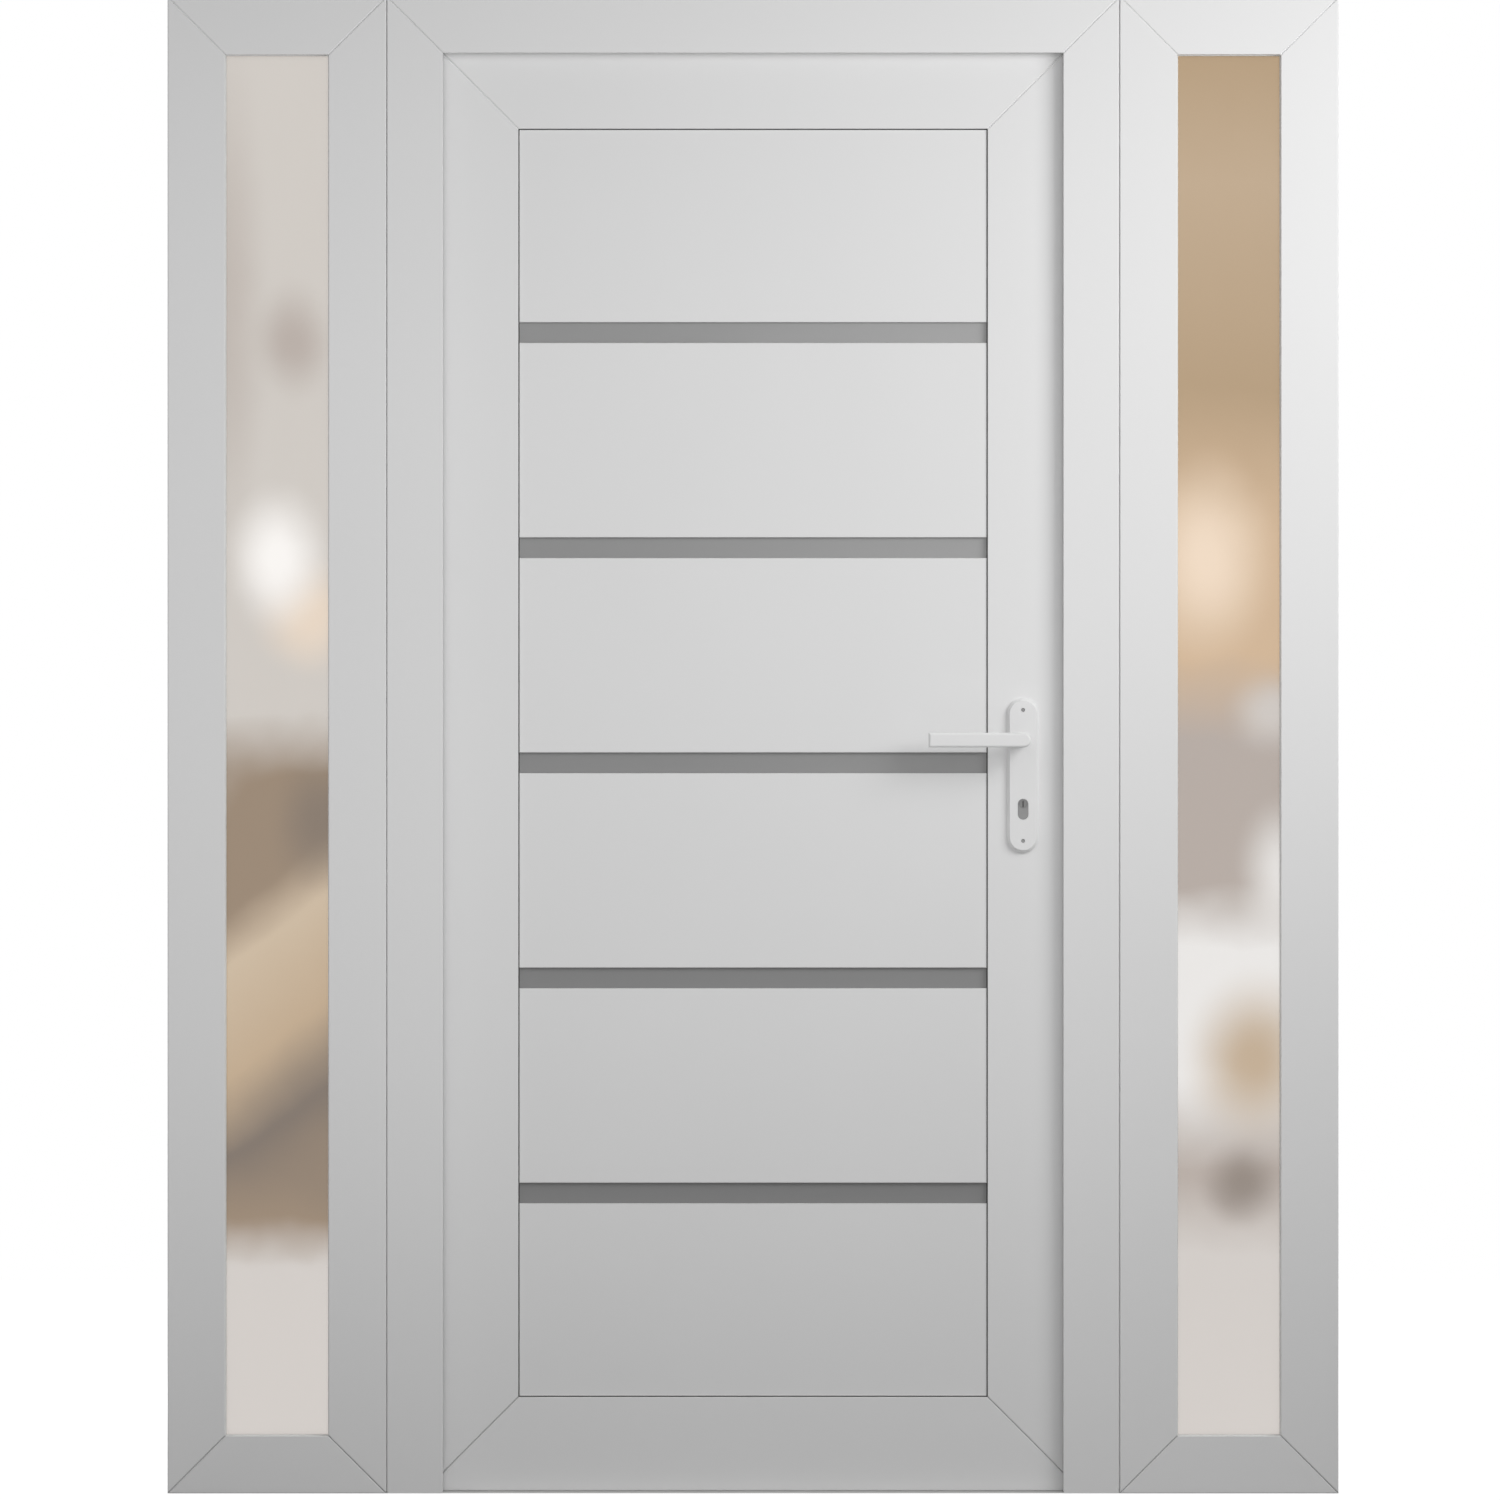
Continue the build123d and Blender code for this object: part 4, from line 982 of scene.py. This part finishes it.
class DOOR_OT_lock_screws(Operator):
    """Makes the screws of the lock strip, of the key cylinder and of the strike plate"""

    bl_idname = "door.lock_screws"
    bl_label = "Lock and strike screws"

    def execute(self, context):
        own = fasteners()
        low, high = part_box("lock_strip")
        bolts_low, bolts_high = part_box("latch_and_deadbolt")
        middle_y = (low.y + high.y) / 2
        below = spread(low.z + STRIP_END_MARGIN, bolts_low.z - BOLT_MARGIN, STRIP_SCREWS)
        above = spread(bolts_high.z + BOLT_MARGIN, high.z - STRIP_END_MARGIN, STRIP_SCREWS)
        heights = [*below, (bolts_low.z + bolts_high.z) / 2, *above]
        places = [Vector((high.x, middle_y, height)) for height in heights]
        head = driven_head(own.small_screw_radius, own.low_head, cross_outline)
        placements = driven_in(places, TO_THE_RIGHT)
        piece("lock_strip_screws", head, placements, "leaf", "screw_steel")
        low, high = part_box("strike_plate")
        middle = (low + high) / 2
        heights = (low.z + STRIKE_END_MARGIN, middle.z, high.z - STRIKE_END_MARGIN)
        places = [Vector((low.x, middle.y, height)) for height in heights]
        head = driven_head(own.small_screw_radius, own.low_head, cross_outline)
        placements = driven_in(places, -TO_THE_RIGHT)
        piece("strike_plate_screws", head, placements, "frame", "screw_steel")
        return {"FINISHED"}


class DOOR_OT_hinge_screws(Operator):
    """Makes the screws in both plates of each hinge"""

    bl_idname = "door.hinge_screws"
    bl_label = "Hinge screws"

    def execute(self, context):
        own = fasteners()
        frame_low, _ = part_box("hinge_frame_halves")
        _, leaf_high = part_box("hinge_leaf_halves")
        frame_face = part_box("left_door_jamb")[1].y + own.hinge_plate
        leaf_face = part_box("leaf_hinge_stile")[1].y + own.hinge_plate
        frame_places = []
        leaf_places = []
        rises = spread(-HINGE_SCREW_REACH, HINGE_SCREW_REACH, HINGE_PLATE_SCREWS)
        for height in hinge_heights():
            for index, rise in enumerate(rises):
                step = HINGE_SCREW_STAGGER if index % 2 else 0
                frame_x = frame_low.x + HINGE_SCREW_FROM_EDGE + step
                leaf_x = leaf_high.x - HINGE_SCREW_FROM_EDGE - step
                frame_places.append(Vector((frame_x, frame_face, height + rise)))
                leaf_places.append(Vector((leaf_x, leaf_face, height + rise)))
        for body, places in (("frame", frame_places), ("leaf", leaf_places)):
            head = driven_head(own.hinge_screw_radius, own.raised_head, cross_outline)
            placements = driven_in(places, INDOORS)
            piece(f"{body}_hinge_screws", head, placements, body, "screw_steel")
        return {"FINISHED"}


class DOOR_OT_hinge_caps(Operator):
    """Makes the socketed caps on the ends of the hinge barrels"""

    bl_idname = "door.hinge_caps"
    bl_label = "Hinge caps"

    def execute(self, context):
        own = fasteners()
        joint = next(j for j in frame["joints"] if j["name"] == "leaf_swing")
        axis_x, axis_y, _ = joint["pos_m"]
        middles = hinge_heights()
        low_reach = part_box("hinge_frame_halves")[0].z - middles[0]
        high_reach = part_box("hinge_leaf_halves")[1].z - middles[-1]
        ends = (("frame", low_reach, -UP), ("leaf", high_reach, UP))
        for body, reach, outward in ends:
            cap = driven_head(own.cap_radius, own.cap_height, hexagon_outline, recess=0.45)
            places = [Vector((axis_x, axis_y, middle + reach)) for middle in middles]
            placements = [stood(place, outward) for place in places]
            piece(f"{body}_hinge_caps", cap, placements, body, "powder_coat")
        return {"FINISHED"}


class DOOR_OT_threshold_screws(Operator):
    """Makes the screws along the indoor side of the threshold"""

    bl_idname = "door.threshold_screws"
    bl_label = "Threshold screws"

    def execute(self, context):
        own = fasteners()
        low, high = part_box("threshold")
        reach = high.x - THRESHOLD_END_MARGIN
        places = [
            Vector((x, low.y + THRESHOLD_SCREW_LINE, high.z))
            for x in spread(-reach, reach, own.threshold_screws)
        ]
        head = driven_head(own.threshold_screw_radius, own.low_head, cross_outline)
        placements = driven_in(places, UP)
        piece("threshold_screws", head, placements, "frame", "screw_steel")
        return {"FINISHED"}


# Studio


def area_lamp(name, plan, watts):
    """Adds a soft rectangular lamp that neither the picture nor a mirror shows."""
    place, aim, size = plan
    lamp = bpy.data.lights.new(name, "AREA")
    lamp.shape = "RECTANGLE"
    lamp.size, lamp.size_y = size
    lamp.energy = watts
    made = bpy.data.objects.new(name, lamp)
    made.location = place
    made.rotation_euler = (Vector(aim) - Vector(place)).to_track_quat("-Z", "Y").to_euler()
    made.visible_camera = False
    made.visible_glossy = False
    bpy.context.scene.collection.objects.link(made)


def seen_directly(recipe):
    """1 on rays from the camera, from a mirror or through glass, and 0 on soft light."""
    seen = recipe.node("ShaderNodeLightPath", output="Is Camera Ray")
    for name in ("Is Glossy Ray", "Is Transmission Ray"):
        seen = recipe.math("MAXIMUM", seen, recipe.node("ShaderNodeLightPath", output=name))
    return seen


def white_surroundings():
    """A world that is seen white and gives a little soft light."""
    world = bpy.data.worlds.new("surroundings")
    world.use_nodes = True
    recipe = Recipe(world.node_tree)
    seen = seen_directly(recipe)
    strength = seen + (1 - seen) * studio().surroundings
    background = world.node_tree.nodes["Background"]
    recipe.feed(background, "Color", WHITE_LIGHT)
    recipe.feed(background, "Strength", strength)
    return world


def pale_floor_finish():
    """A floor that is seen white, keeps a faint shadow and throws back little light."""
    made = bpy.data.materials.new("pale_floor")
    made.use_nodes = True
    recipe = Recipe(made.node_tree)
    made.node_tree.nodes.remove(made.node_tree.nodes["Principled BSDF"])
    seen = seen_directly(recipe)
    away = recipe.reach(recipe.place())
    glowing = recipe.ease(away, NEAR_FLOOR, FAR_FLOOR, to_low=NEAR_FLOOR_GLOW)
    glow = recipe.node("ShaderNodeEmission", {}, {"Color": WHITE_LIGHT, "Strength": glowing})
    lit = recipe.node("ShaderNodeBsdfDiffuse", {}, {"Color": SHADOWED_GREY})
    dim = recipe.node("ShaderNodeBsdfDiffuse", {}, {"Color": BOUNCE_GREY})
    shown = recipe.node("ShaderNodeAddShader", {}, {0: glow, 1: lit})
    mixed = recipe.node("ShaderNodeMixShader", {}, {"Fac": seen, 1: dim, 2: shown})
    recipe.feed(made.node_tree.nodes["Material Output"], "Surface", mixed)
    return made


class DOOR_OT_studio(Operator):
    """Sets the floor, the lamps, the white surroundings and the camera"""

    bl_idname = "door.studio"
    bl_label = "Studio"

    def execute(self, context):
        own = studio()
        scene = context.scene
        ground = bmesh.new()
        bmesh.ops.create_grid(ground, x_segments=8, y_segments=8, size=own.floor_size / 2)
        mesh = bpy.data.meshes.new("floor")
        ground.to_mesh(mesh)
        ground.free()
        mesh.materials.append(pale_floor_finish())
        floor = bpy.data.objects.new("floor", mesh)
        scene.collection.objects.link(floor)

        area_lamp("key_lamp", KEY_LAMP, own.key_power)
        area_lamp("front_lamp", FRONT_LAMP, own.front_power)
        area_lamp("indoor_lamp", INDOOR_LAMP, own.indoor_power)
        scene.world = white_surroundings()

        lens = bpy.data.cameras.new("camera")
        face_y = FRAME_BOX[0].y
        lens.lens = lens.sensor_width * own.camera_distance / own.view_width
        lens.clip_end = own.camera_distance * VIEW_DEPTH
        camera = bpy.data.objects.new("camera", lens)
        camera.location = (own.camera_aside, face_y - own.camera_distance, own.camera_height)
        camera.rotation_euler = (math.pi / 2, 0, 0)
        scene.collection.objects.link(camera)
        scene.camera = camera
        scene.view_settings.view_transform = "Standard"
        return {"FINISHED"}


PIECE_OPERATORS = (
    DOOR_OT_finishes,
    DOOR_OT_backplate_screws,
    DOOR_OT_lever_fittings,
    DOOR_OT_cylinder_rings,
    DOOR_OT_lock_screws,
    DOOR_OT_hinge_screws,
    DOOR_OT_hinge_caps,
    DOOR_OT_threshold_screws,
    DOOR_OT_studio,
)


class DOOR_PT_pieces(Panel):
    """Lists what can be made"""

    bl_idname = "DOOR_PT_pieces"
    bl_label = "Door"
    bl_space_type = "VIEW_3D"
    bl_region_type = "UI"
    bl_category = "Door"

    def draw(self, context):
        for operator in PIECE_OPERATORS:
            self.layout.operator(operator.bl_idname)


CLASSES = (FastenerSizes, FinishColours, StudioSizes, *PIECE_OPERATORS, DOOR_PT_pieces)


def register():
    """Registers the classes and hangs the properties on the scene."""
    for item in CLASSES:
        bpy.utils.register_class(item)
    bpy.types.Scene.door_fasteners = PointerProperty(type=FastenerSizes)
    bpy.types.Scene.door_colours = PointerProperty(type=FinishColours)
    bpy.types.Scene.door_studio = PointerProperty(type=StudioSizes)


def unregister():
    """Takes the properties and the classes away again."""
    del bpy.types.Scene.door_studio
    del bpy.types.Scene.door_colours
    del bpy.types.Scene.door_fasteners
    for item in reversed(CLASSES):
        bpy.utils.unregister_class(item)


def main():
    """Makes everything in order."""
    register()
    for operator in PIECE_OPERATORS:
        group, name = operator.bl_idname.split(".")
        getattr(getattr(bpy.ops, group), name)()


if __name__ == "__main__":
    main()
